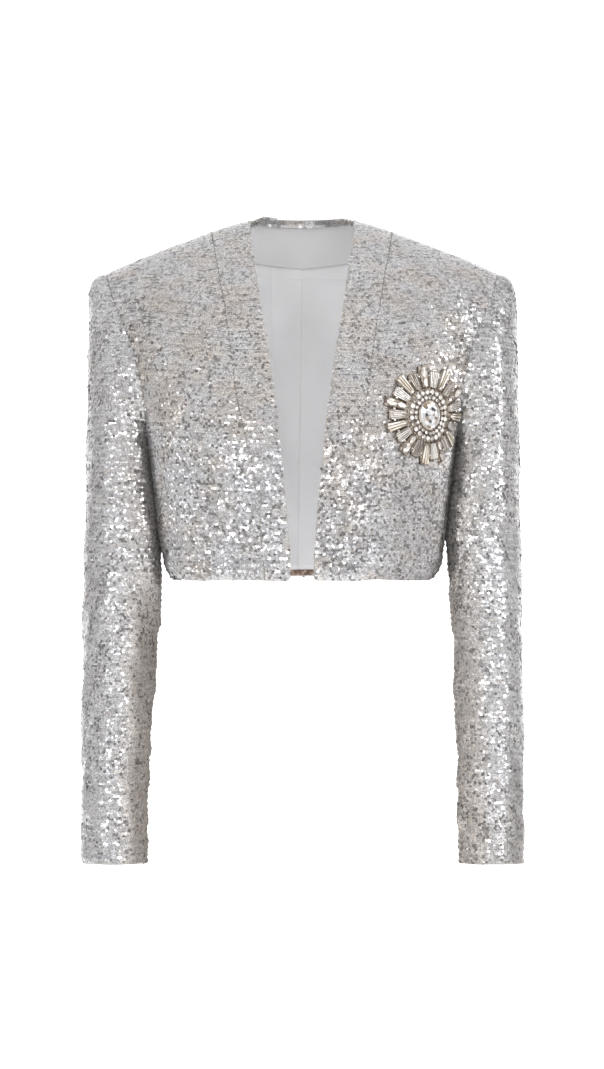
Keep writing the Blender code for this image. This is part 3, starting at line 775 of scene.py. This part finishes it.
def shade_and_dullness_places(arm, places, normals):
    """0 for bright foil to 1 for painted shade on rougher foil."""
    if arm:
        side = np.where(places[:, 0] < 0, 1.0, 0.3)
        inner = within(inwards(places, normals) * 2.6 - 1.0)
        cuff = below(places, -0.53, 0.06) * (places[:, 0] > 0)
        return (below(places, -0.34, 0.10) * side * inner
                + 0.6 * cuff * within(normals[:, 0] * 1.5 - 0.1))
    return 0.65 * below(places, -0.22, 0.07) * within((places[:, 0] - 0.058) / 0.042)


def front_turned(arm, places, normals):
    """How far sequins under and inside the arms are turned to the front."""
    beside = np.interp(places[:, 2], (-0.44, -0.38, -0.24, -0.16), (0.6 if arm else 1, 1, 1, 0))
    aside = within(inwards(places, normals) * (1 if arm else -1) * 2 - 0.5)
    ahead = within((0.3 - normals[:, 1]) * 2)
    return 1.15 * beside * aside * ahead


def tousled_places(places):
    """How far the sequins lie unevenly: most round the front of each armhole."""
    return np.exp(-((abs(places[:, 0]) - 0.172) / 0.026) ** 2
                  - ((places[:, 2] + 0.125) / 0.055) ** 2)


def sequin_tones(name, places, normals, chance):
    """Each sequin's tone, warmth and painted shade on rougher foil, from 0 to 1."""
    arm, count = "sleeve" in name, len(places)
    left = places[:, 0] > 0
    cloud = 60 * unevenness(places * 0.45 + 3.1)
    patch = DARK_PATCHES * unevenness(places * 2.4 + 7.7) * (1 if arm else 0.4)
    low = np.zeros(count) if arm else below(places, -0.2, 0.1)
    head = arm * within((places[:, 2] + 0.16) / 0.06) * left
    dark = chance.uniform(0, 1, count) < (DARK_SHARE + 0.32 * head + 1.5 * cloud + patch
                                          + np.where(left, 0.12, 0.04) * low)
    mix = np.where(dark, chance.uniform(*DARK_TONES, count),
                   np.clip(chance.normal(*TONES, count) + cloud - 0.08 * low, 0.35, 1))
    # Painted shade: where the cloth faces up, on the shoulders, each tone is drawn towards a
    # darker one.
    shade_up = within((normals[:, 2] - 0.12) / 0.3) * 0.4
    mix += shade_up * (0.4 - mix)
    # Painted shade on rougher foil: inner sleeves, the left cuff's outer side, low on the left
    # front, and evenly over the neck strip.
    shade_and_dullness = shade_and_dullness_places(arm, places, normals)
    if "strip" in name:
        mix, shade_and_dullness = 0.72 + 0.3 * (mix - 0.5), np.full(count, 0.2)
    # The warmth is a tint on the chest and painted shade on the inner sides of the sleeves.
    warm = within(tint_and_shade_places(arm, places, normals) + chance.normal(0, 0.05, count)
                   + 80 * unevenness(places * 0.3 - 1.7))
    return {"tone": mix, "warm": warm, "shade_and_dullness": shade_and_dullness}


def joined_mesh(name, corners, faces, look):
    """A piece made of points and faces in one finish, that goes with the garment."""
    mesh = bpy.data.meshes.new(name)
    mesh.from_pydata(corners, [], faces)
    mesh.materials.append(look)
    piece = bpy.data.objects.new(name, mesh)
    bpy.context.scene.collection.objects.link(piece)
    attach(piece, "root")
    return piece


def sew_sequins(name, shell, levels, turns, seed, borders, away_from=None):
    """One joined mesh of sequins in rows over a shell's shown side."""
    chance = np.random.default_rng(seed)
    arm = "sleeve" in name
    surface = outer_surface(shell)
    row, pair = level_lines(surface, levels, turns, ROW_MM)
    row, middle, normal, aside = strewn(row, pair, ALONG_MM / 1000, chance)
    # The sunburst's place, seams, free edges and darts stay clear of sequins.
    clear = still(middle, BARE_REACH) > 0
    for marks, reach in zip((*borders, away_from), (SEAM_CLEAR_MM, EDGE_CLEAR_MM, DART_CLEAR_MM)):
        if marks is not None and len(marks):
            clear &= ~near_any(middle, marks, reach / 1000)
    row, middle, normal, aside = row[clear], middle[clear], unit(normal[clear]), aside[clear]
    aside = unit(aside - normal * (aside * normal).sum(1)[:, None])
    up = np.cross(normal, aside)
    flip = np.where(up[:, 2] < 0, -1.0, 1.0)[:, None]
    up, aside = up * flip, aside * flip
    count = len(middle)
    loose = row % ROWS_TO_LOOSE == 0
    spread = np.outer(ARM_SPREAD if arm else BODY_SPREAD, 1 + TOUSLED * tousled_places(middle))
    # On the shoulders the sequins lie flat, and they lean out on upright cloth.
    flat_up = np.clip(1.05 - 1.6 * within(normal[:, 2]), -0.2, 1)
    rows = chance.normal(0, ROW_SPREAD, np.ptp(row) + 1)[row - row.min()]
    patch = GLINT_PATCHES * unevenness(middle * 2.1 + 2.3) * (1 if arm else 0.6)
    lean = np.radians(np.where(loose, *(ARM_LEAN if arm else BODY_LEAN)) * flat_up + rows
                      + patch + spread[0] * even_along(chance, count))[:, None]
    patch = GLINT_PATCHES * unevenness(middle * 1.9 - 4.1) * (0.8 if arm else 0.4)
    roll = np.radians(patch + spread[1] * even_along(chance, count))[:, None]
    ahead = front_turned(arm, middle, normal)[:, None]
    base = unit(normal + ahead * (0, -1, 0))
    aside = unit(aside - base * (aside * base).sum(1)[:, None])
    up = unit(up - base * (up * base).sum(1)[:, None])
    facing = base * np.cos(lean) + up * np.sin(lean)
    high = up * np.cos(lean) - base * np.sin(lean)
    facing, wide = (facing * np.cos(roll) + aside * np.sin(roll),
                    aside * np.cos(roll) - facing * np.sin(roll))
    radius = (SEQUIN_MM / 2000 * chance.uniform(0.95, 1.04, count)
              * np.where(loose, *SIZES))[:, None]
    lift = 0.0003 + radius * (abs(np.sin(lean)) + 0.6 * abs(np.sin(roll)) + 0.35 * ahead)
    centre = middle + normal * lift
    corners = []
    for k in range(SEQUIN_SIDES):
        turn = 2 * math.pi * (k + 0.5) / SEQUIN_SIDES
        corners.append(centre + radius * (wide * math.cos(turn) + high * math.sin(turn)))
    corners = np.stack(corners, axis=1).reshape(-1, 3)
    faces = np.arange(count * SEQUIN_SIDES).reshape(count, SEQUIN_SIDES)
    # Every sequin's face points out of the cloth.
    a, b, c = corners[faces[:, 0]], corners[faces[:, 2]], corners[faces[:, 4]]
    wrong = (np.cross(b - a, c - a) * normal).sum(1) < 0
    faces[wrong] = faces[wrong][:, ::-1]
    sequins = joined_mesh(name, corners.tolist(), faces.tolist(), foil)
    for label, values in sequin_tones(name, middle, normal, chance).items():
        made = sequins.data.attributes.new(label, "FLOAT", "POINT")
        made.data.foreach_set("value", np.repeat(values, SEQUIN_SIDES).astype(np.float32))


# Waist darts: a sewn line down each side front, from below the chest to the hem.
DART_ASIDE = 0.094
DART_TOP = -0.265
DART_LOW = -0.382
DART_STEP = 0.0042
darts = {}
for side, word in SIDES:
    shell = body_shells["side_front_" + word]
    spots = []
    for height in np.arange(DART_TOP, DART_LOW, -DART_STEP):
        hit, place, normal, _ = shell.ray_cast((side * DART_ASIDE, -0.4, height), (0, 1, 0))
        if hit:
            spots.append((*place, *normal))
    darts[word] = np.array(spots)

for side, word in SIDES:
    places = points_of(sleeve_shells[side])
    middle_x, middle_y = sleeve_axis(places[:, 2] * 1000)
    turns = np.arctan2(places[:, 1] * 1000 - middle_y, places[:, 0] * 1000 * side - middle_x)
    turns = (turns + 2 * math.pi) % (2 * math.pi) - math.pi
    sew_sequins("sleeve_sequins_" + word, sleeve_shells[side], sleeve_height(places), turns,
                11 + side, sewn_and_free(sleeve_shells[side]))
for name, shell in body_shells.items():
    places = points_of(shell)
    face = 1 if name == "back_panel" else -1
    slope = 0.19 if "side_front" in name else 0.0
    turns = np.arctan2(places[:, 0], face * places[:, 1] + 0.02)
    dart = darts[name.rsplit("_", 1)[1]][:, :3] if "side_front" in name else None
    sew_sequins(name + "_sequins", shell, cut_height(places, slope), turns, 20 + len(name),
                sewn_and_free(shell), dart)
places = points_of(neck_strip)
sew_sequins("neck_strip_sequins", neck_strip, places[:, 2] * 1000,
            np.arctan2(places[:, 0], places[:, 1] + 0.02), 40, (None, None))

# Seam and dart stitching: grey polyester thread, seen as a broken dark line between the
# sequins where two panels are sewn together.

THREAD = "#565455"
STITCH_LONG = 0.0019
STITCH_WIDE = 0.00055
STITCH_STEP = 0.0023
STITCH_LIFT = 0.0007
STITCH_WELD = 0.00001
thread, _ = new_finish("grey polyester thread")
set_finish(thread, Base_Color=linear(THREAD), Roughness=0.6, Sheen_Weight=0.3)


def turn_outwards(piece, weld=0.0):
    """Make a piece's faces point outwards, its doubles merged first where weld is given."""
    pick(piece)
    bpy.ops.object.mode_set(mode="EDIT")
    bpy.ops.mesh.select_all(action="SELECT")
    if weld:
        bpy.ops.mesh.remove_doubles(threshold=weld)
    bpy.ops.mesh.normals_make_consistent(inside=False)
    bpy.ops.object.mode_set(mode="OBJECT")


def stitch_rows(name, spots):
    """One joined mesh of stitches: place, direction along and outward normal of each."""
    middle, along, normal = (np.array(part) for part in zip(*spots))
    along, normal = unit(along), unit(normal)
    aside = unit(np.cross(normal, along))
    half = STITCH_LONG / 2
    rows = []
    for reach, wide, high in ((-half, 0, 0), (-half * 0.5, 0.5, 1), (half * 0.5, 0.5, 1),
                              (half, 0, 0)):
        for turn in range(4):
            spread = math.cos(math.pi / 2 * turn) * wide * STITCH_WIDE
            lift = math.sin(math.pi / 2 * turn) * wide * STITCH_WIDE + STITCH_LIFT
            rows.append(middle + along * reach + aside * spread + normal * lift)
    corners = np.stack(rows, axis=1).reshape(-1, 3)
    faces = []
    for k in range(len(middle)):
        base = 16 * k
        for ring in range(3):
            for turn in range(4):
                a = base + 4 * ring + turn
                b = base + 4 * ring + (turn + 1) % 4
                faces.append((a, b, b + 4, a + 4))
    turn_outwards(joined_mesh(name, corners.tolist(), faces, thread), STITCH_WELD)


def seam_spots(shell):
    """Stitches along the borders of a shell that are sewn to another shell."""
    places, triangles, normals, rim = outer_surface(shell)
    sewn, _ = sewn_and_free(shell)
    key = {tuple(np.round(p, 6)) for p in sewn}
    marked = np.array([tuple(np.round(p, 6)) in key for p in places])
    edges = np.sort(np.concatenate([triangles[:, [0, 1]], triangles[:, [1, 2]],
                                    triangles[:, [2, 0]]]), axis=1)
    edges, uses = np.unique(edges, axis=0, return_counts=True)
    edges = edges[(uses == 1) & marked[edges].all(axis=1)]
    spots = []
    for a, b in edges:
        along = places[b] - places[a]
        count = max(1, round(float(np.linalg.norm(along)) / STITCH_STEP))
        for k in range(count):
            share = (k + 0.5) / count
            spots.append((places[a] + along * share, along,
                          normals[a] * (1 - share) + normals[b] * share))
    return spots


spots = []
for name, shell in body_shells.items():
    if "band" not in name:
        spots += seam_spots(shell)
# Low on the front the sequins close over the seam of the band and hide its stitches.
spots = [spot for spot in spots
         if not (abs(spot[0][0]) < 0.075 and spot[0][1] < 0 and spot[0][2] < -0.235)]
stitch_rows("seam_stitches", spots)
for word, dart in darts.items():
    stitch_rows("dart_stitches_" + word,
                [(spot[:3], (0, 0, 1), spot[3:]) for spot in dart])

# Sunburst on the left chest: a gilt plate of long and short rays that carries foil-backed
# glass.  Every stone sits in its own gilt cup; the sunburst is bent to the chest's curve
# and sewn on through the cloth, which has no sequins under it.

SUNBURST_REACH = 54
chest = body_shells["side_front_left"]
CHEST_LEVELS = np.arange(-SUNBURST_REACH, SUNBURST_REACH + 1, 6.0)
CHEST_STEPS = np.arange(-SUNBURST_REACH, SUNBURST_REACH + 1, 1.0)


def chest_curve(above):
    """Places across the left chest at one height, evenly spaced from the middle."""
    height = SUNBURST[2] + above / 1000
    found = []
    for turn in np.radians(np.arange(20, 89, 1.0)):
        way = Vector((math.sin(turn), -math.cos(turn), 0))
        hit, place, _, _ = chest.ray_cast(Vector((0, 0, height)) + way * 0.4, -way)
        if hit:
            found.append((place.x * 1000, place.y * 1000))
    found = np.array(found)
    ahead = found[-1] - found[-3]
    found = np.vstack([found, found[-1] + ahead * 30 / np.linalg.norm(ahead)])
    lengths = np.concatenate([[0], np.cumsum(np.linalg.norm(np.diff(found, axis=0), axis=1))])
    along = np.interp(SUNBURST[0] * 1000, found[:, 0], lengths) + CHEST_STEPS
    return [np.interp(along, lengths, found[:, 0]), np.interp(along, lengths, found[:, 1])]


CHEST_GRID = np.array([chest_curve(above) for above in CHEST_LEVELS]).transpose(0, 2, 1)
CHEST_AHEAD = np.gradient(CHEST_GRID, axis=1)


def on_chest(flat):
    """Places over the chest, in metres, for flat ones: aside, above and lift in mm."""
    row = np.clip((flat[:, 1] + SUNBURST_REACH) / 6, 0, len(CHEST_LEVELS) - 1.001)
    step = np.clip(flat[:, 0] + SUNBURST_REACH, 0, len(CHEST_STEPS) - 1.001)
    i, j = row.astype(int), step.astype(int)
    u, v = (row - i)[:, None], (step - j)[:, None]

    def mixed(grid):
        low = grid[i, j] * (1 - v) + grid[i, j + 1] * v
        high = grid[i + 1, j] * (1 - v) + grid[i + 1, j + 1] * v
        return low * (1 - u) + high * u

    place, ahead = mixed(CHEST_GRID), unit(mixed(CHEST_AHEAD))
    place = place + np.stack([-ahead[:, 1], ahead[:, 0]], axis=1) * -flat[:, 2:3]
    return np.column_stack([place / 1000, SUNBURST[2] + flat[:, 1] / 1000])


def oval_outline(wide, tall, count):
    turns = 2 * np.pi * (np.arange(count) + 0.5) / count
    return np.column_stack([wide * np.cos(turns), tall * np.sin(turns)])


def tapered_outline(long, inner, outer):
    """A bar along the ray, half as wide as given at its inner and outer end."""
    half = long / 2
    return np.array([(-half, -inner), (half, -outer), (half, outer), (-half, inner)])


def leaf_outline(long, wide):
    half = long / 2
    return np.array([(-half, 0), (-half * 0.45, -wide * 0.8), (half * 0.15, -wide),
                     (half * 0.7, -wide * 0.6), (half, 0), (half * 0.7, wide * 0.6),
                     (half * 0.15, wide), (-half * 0.45, wide * 0.8)])


def at_ray(outline, radius, turn, stretch=1.0):
    """An outline turned to point outwards at a radius; stretch makes its round an oval."""
    aside = np.array((math.cos(turn), math.sin(turn) * stretch))
    way = unit(np.array([(math.cos(turn), math.sin(turn))]))[0]
    across = np.array((-way[1], way[0]))
    return radius * aside + outline[:, :1] * way + outline[:, 1:] * across


# How far each facet's painted reflection strays from its stone's own tone.
FACET_GLINT_SPREAD = 0.28


def set_stones(name, stones, look, seed):
    """One joined mesh of closed stones; each is an outline and its (share, lift) levels."""
    chance = np.random.default_rng(seed)
    corners, faces, facet_glints = [], [], []
    for outline, levels in stones:
        middle = outline.mean(axis=0)
        count = len(outline)
        base = sum(len(part) for part in corners)
        for share, lift in levels:
            ring = middle + (outline - middle) * share
            corners.append(np.column_stack([ring, np.full(count, lift)]))
        # Each stone has its own tone, and each facet a painted reflection spread round it.
        own = chance.uniform(0.2, 0.8)
        faces.append([base + k for k in range(count)][::-1])
        for level in range(len(levels) - 1):
            for k in range(count):
                a = base + level * count + k
                b = base + level * count + (k + 1) % count
                faces.append((a, b, b + count, a + count))
        faces.append([base + (len(levels) - 1) * count + k for k in range(count)])
        made = 2 + (len(levels) - 1) * count
        facet_glints.append(within(own + chance.normal(0, FACET_GLINT_SPREAD, made)))
    piece = joined_mesh(name, on_chest(np.concatenate(corners)).tolist(), faces, look)
    tone = piece.data.attributes.new("tone", "FLOAT", "FACE")
    tone.data.foreach_set("value", np.concatenate(facet_glints).astype(np.float32))
    turn_outwards(piece)
    return piece


def glass_look(name, *stops):
    """Foil-backed cut glass: mirror bright, in its stone's colour with every facet a painted
    reflection.
    """
    look, tree = new_finish(name)
    tone = add_node(tree, "Attribute", "Fac", attribute_name="tone")
    set_finish(look, Base_Color=add_node(tree, "ValToRGB", "Color", {"Fac": tone}, stops),
               Metallic=0.55, Roughness=0.26, Coat_Weight=0.15, Coat_Roughness=0.05)
    return look


clear_glass = glass_look("clear crystal", (0.0, "#7d7771"), (0.25, "#b3ada6"), (0.6, "#ddd9d3"),
                         (1.0, "#f8f6f4"))
champagne = glass_look("champagne crystal", (0.0, "#a19582"), (0.3, "#d0c6b6"),
                       (0.65, "#eae4da"), (1.0, "#fdfaf5"))
brilliant = glass_look("brilliant crystal", (0.0, "#42484f"), (0.26, "#8f7a64"),
                       (0.42, "#b1afad"), (0.7, "#d9d9db"), (1.0, "#ffffff"))
smoky = glass_look("smoky bugles", (0.0, "#5b5650"), (0.4, "#98928a"), (1.0, "#dad5cd"))
silvery = glass_look("silvery bugles", (0.0, "#96918b"), (0.5, "#cbc7c1"), (1.0, "#f2f0ed"))


def gilt_look(name, scale, aged, bright, **values):
    """Gilt metal with a fine patchy tarnish, from its aged to its bright colour."""
    look, tree = new_finish(name)
    place = add_node(tree, "TexCoord", "Object")
    age = add_node(tree, "TexNoise", "Fac", {"Vector": place, "Scale": scale})
    colour = add_node(tree, "ValToRGB", "Color", {"Fac": age}, ((0.35, aged), (0.65, bright)))
    set_finish(look, Base_Color=colour, **values)
    return look


gilt = gilt_look("aged gilt metal", 260.0, "#80776e", "#c6bdb2", Metallic=1.0, Roughness=0.3)
dark_gilt = gilt_look("blackened gilt metal", 320.0, "#62584f", "#a1978c", Metallic=0.9,
                      Roughness=0.4)

RAYS = 22
# Heights over the chest, in millimetres: the plate between its rays, and on them.
PLATE_TOP = 2.0
RAY_TOP = 4.0
OVAL = 1.1
bars, leaves, fans, dark_fans, rounds, cups, beads = [], [], [], [], [], [], []


def in_cup(group, outline, foot, girdle, table, share=0.62, rim=0.32):
    """Add a stone to its group, and the cup that holds it to the cups."""
    group.append((outline, ((0.96, foot), (1.0, girdle), (share, table))))
    middle = outline.mean(axis=0)
    reach = np.linalg.norm(outline - middle, axis=1, keepdims=True)
    cup = middle + (outline - middle) * (reach + rim) / reach
    cups.append((cup, ((1.0, foot), (1.0, girdle - 0.35), (0.96, girdle - 0.15))))


for ray in range(RAYS):
    turn = 2 * math.pi * ray / RAYS
    if ray % 2 == 0:
        if ray % 4 == 0:
            for blade, long in ((-1, 17.5), (0, 19.5), (1, 17.5)):
                lean = turn + math.radians(blade * 3.6)
                in_cup(bars, at_ray(tapered_outline(long, 0.74, 1.26), 40.6, lean),
                       RAY_TOP, 5.3 + 0.3 * (blade == 0), 6.0 + 0.3 * (blade == 0), 0.5, 0.2)
            in_cup(rounds, at_ray(oval_outline(1.5, 1.5, 8), 30.6, turn), PLATE_TOP, 5.0, 5.7)
        else:
            in_cup(leaves, at_ray(leaf_outline(9.4, 2.3), 33.3, turn), RAY_TOP, 5.2, 6.0, 0.4)
            in_cup(leaves, at_ray(leaf_outline(11.6, 3.4), 44.0, turn), RAY_TOP, 5.3, 6.3, 0.4)
    else:
        group = dark_fans if ray % 4 == 3 else fans
        for blade in range(-2, 3):
            lean = turn + math.radians(blade * 2.9)
            group.append((at_ray(tapered_outline(17.0 - abs(blade), 0.54, 0.80), 36.6, lean),
                          ((0.9, RAY_TOP), (1.0, 4.7), (0.5, 5.2))))
        beads.append((at_ray(oval_outline(0.9, 0.9, 8), 45.4, turn),
                      ((0.8, RAY_TOP), (1.0, 4.6), (0.6, 5.3))))
    notch = turn + math.pi / RAYS
    in_cup(rounds, at_ray(oval_outline(1.1, 1.1, 8), 40.4, notch), PLATE_TOP, 3.9, 4.6)
for count, radius, size in ((22, 16.6, 1.98), (24, 21.5, 2.5)):
    for k in range(count):
        in_cup(rounds, at_ray(oval_outline(size, size, 8), radius, 2 * math.pi * (k + 0.5) / count,
                              OVAL), PLATE_TOP, 4.6, 5.6, 0.6)
for k in range(44):
    beads.append((at_ray(oval_outline(0.75, 0.75, 8), 25.3, 2 * math.pi * k / 44, 1.06),
                  ((0.8, PLATE_TOP), (1.0, 2.9), (0.6, 3.5))))

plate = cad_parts["brooch_rays"]
plate.data.materials.clear()
plate.data.materials.append(dark_gilt)
collar = set_stones("sunburst_collar",
                    [(oval_outline(24.8, 27.0, 48),
                      ((1.0, PLATE_TOP - 0.2), (1.0, 2.5), (0.98, 2.7)))],
                    gilt, 50)
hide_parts("brooch_bead_ring")
for seed, (name, stones, look) in enumerate((
        ("cups", cups, gilt), ("beads", beads, gilt), ("bars", bars, champagne),
        ("leaves", leaves, clear_glass), ("rounds", rounds, clear_glass),
        ("bugles_silvery", fans, silvery), ("bugles_smoky", dark_fans, smoky)), 51):
    set_stones("sunburst_" + name, stones, look,
               seed)
set_stones("sunburst_bezel",
           [(oval_outline(13.7, 14.7, 40), ((1.0, PLATE_TOP), (1.0, 4.7), (0.94, 5.1)))],
           gilt, 58)
middle_stone = set_stones(
    "sunburst_crystal",
    [(oval_outline(12.4, 13.4, 14),
      ((1.0, 4.2), (1.0, 5.3), (0.84, 6.2), (0.62, 6.8), (0.36, 6.95), (0.05, 7.0)))],
    brilliant, 59)
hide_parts("brooch_crystal")

# Camera, pale floor and backdrop, and soft studio light.

EYE = (0.0, -2.1, -0.337)
VIEW_TALL = 1.1386
camera = bpy.data.objects.new("camera", bpy.data.cameras.new("camera"))
bpy.context.scene.collection.objects.link(camera)
camera.location = EYE
camera.rotation_euler = (math.pi / 2, 0, 0)
camera.data.lens = camera.data.sensor_width * -EYE[1] / VIEW_TALL
camera.data.clip_end = 50
bpy.context.scene.camera = camera
bpy.context.scene.view_settings.view_transform = "Standard"

FLOOR_Z = -1.0
FLOOR_SIZE = 8
WALL_TALL = 7
bpy.ops.object.select_all(action="DESELECT")
bpy.ops.mesh.primitive_plane_add(size=FLOOR_SIZE, location=(0, 0, FLOOR_Z))
floor = bpy.context.object
floor.name = "floor"
pick(floor)
bpy.ops.object.mode_set(mode="EDIT")
bpy.ops.mesh.select_all(action="DESELECT")
bpy.ops.object.mode_set(mode="OBJECT")
for edge in floor.data.edges:
    edge.select = all(floor.data.vertices[v].co.y > 0 for v in edge.vertices)
bpy.ops.object.mode_set(mode="EDIT")
bpy.ops.mesh.extrude_region_move(TRANSFORM_OT_translate={"value": (0, 0, WALL_TALL)})
bpy.ops.object.mode_set(mode="OBJECT")
bpy.ops.object.transform_apply(location=True, rotation=True, scale=True)
paper, _ = new_finish("white paper backdrop")
set_finish(paper, Base_Color=(0.5, 0.5, 0.5, 1), Roughness=0.9, Emission_Color=(1, 1, 1, 1),
           Emission_Strength=1.0)
floor.data.materials.append(paper)

# Soft studio light: grey round about, brighter from above, and a low bow of small lamps
# whose light only sequins that lean the right way send to the eye.
SKY_STRENGTH = 1.43
world = bpy.data.worlds.new("studio")
bpy.context.scene.world = world
world.use_nodes = True
tree = world.node_tree
sky = tree.nodes["Background"]
way = add_node(tree, "TexCoord", "Generated")
height = add_node(tree, "SeparateXYZ", "Z", {"Vector": way})
glow = add_node(tree, "ValToRGB", "Color", {"Fac": height},
                ((0.0, "#b8b7b7"), (0.25, "#c5c4c4"), (0.5, "#e6e5e5"), (1.0, "#ebeaea")))
set_inputs(sky, {"Color": glow, "Strength": SKY_STRENGTH})

LAMP_AWAY = 3.0
LAMP_AIM = Vector((0, 0, -0.35))
LAMP_COLOUR = (0.94, 0.96, 1.0)
# Each lamp's turn to the side and height, in degrees, its size and its power.
LAMPS = ((-46, 11, 0.34, 2.0), (-24, 13, 0.35, 4.8), (-2, 9, 0.40, 5.0), (22, 13, 0.33, 4.4),
         (42, 9, 0.36, 5.2), (62, 14, 0.42, 6.8), (70, 32, 0.40, 9.0))
for k, (aside, above, size, power) in enumerate(LAMPS):
    turn, rise = math.radians(aside), math.radians(above)
    lamp = bpy.data.objects.new("lamp_%d" % k, bpy.data.lights.new("lamp_%d" % k, "AREA"))
    lamp.data.size = size
    lamp.data.color = LAMP_COLOUR
    lamp.data.energy = power
    spot = Vector((math.sin(turn) * math.cos(rise), -math.cos(turn) * math.cos(rise),
                   math.sin(rise))) * LAMP_AWAY + LAMP_AIM
    lamp.location = spot
    lamp.rotation_euler = (LAMP_AIM - spot).to_track_quat("-Z", "Y").to_euler()
    bpy.context.scene.collection.objects.link(lamp)
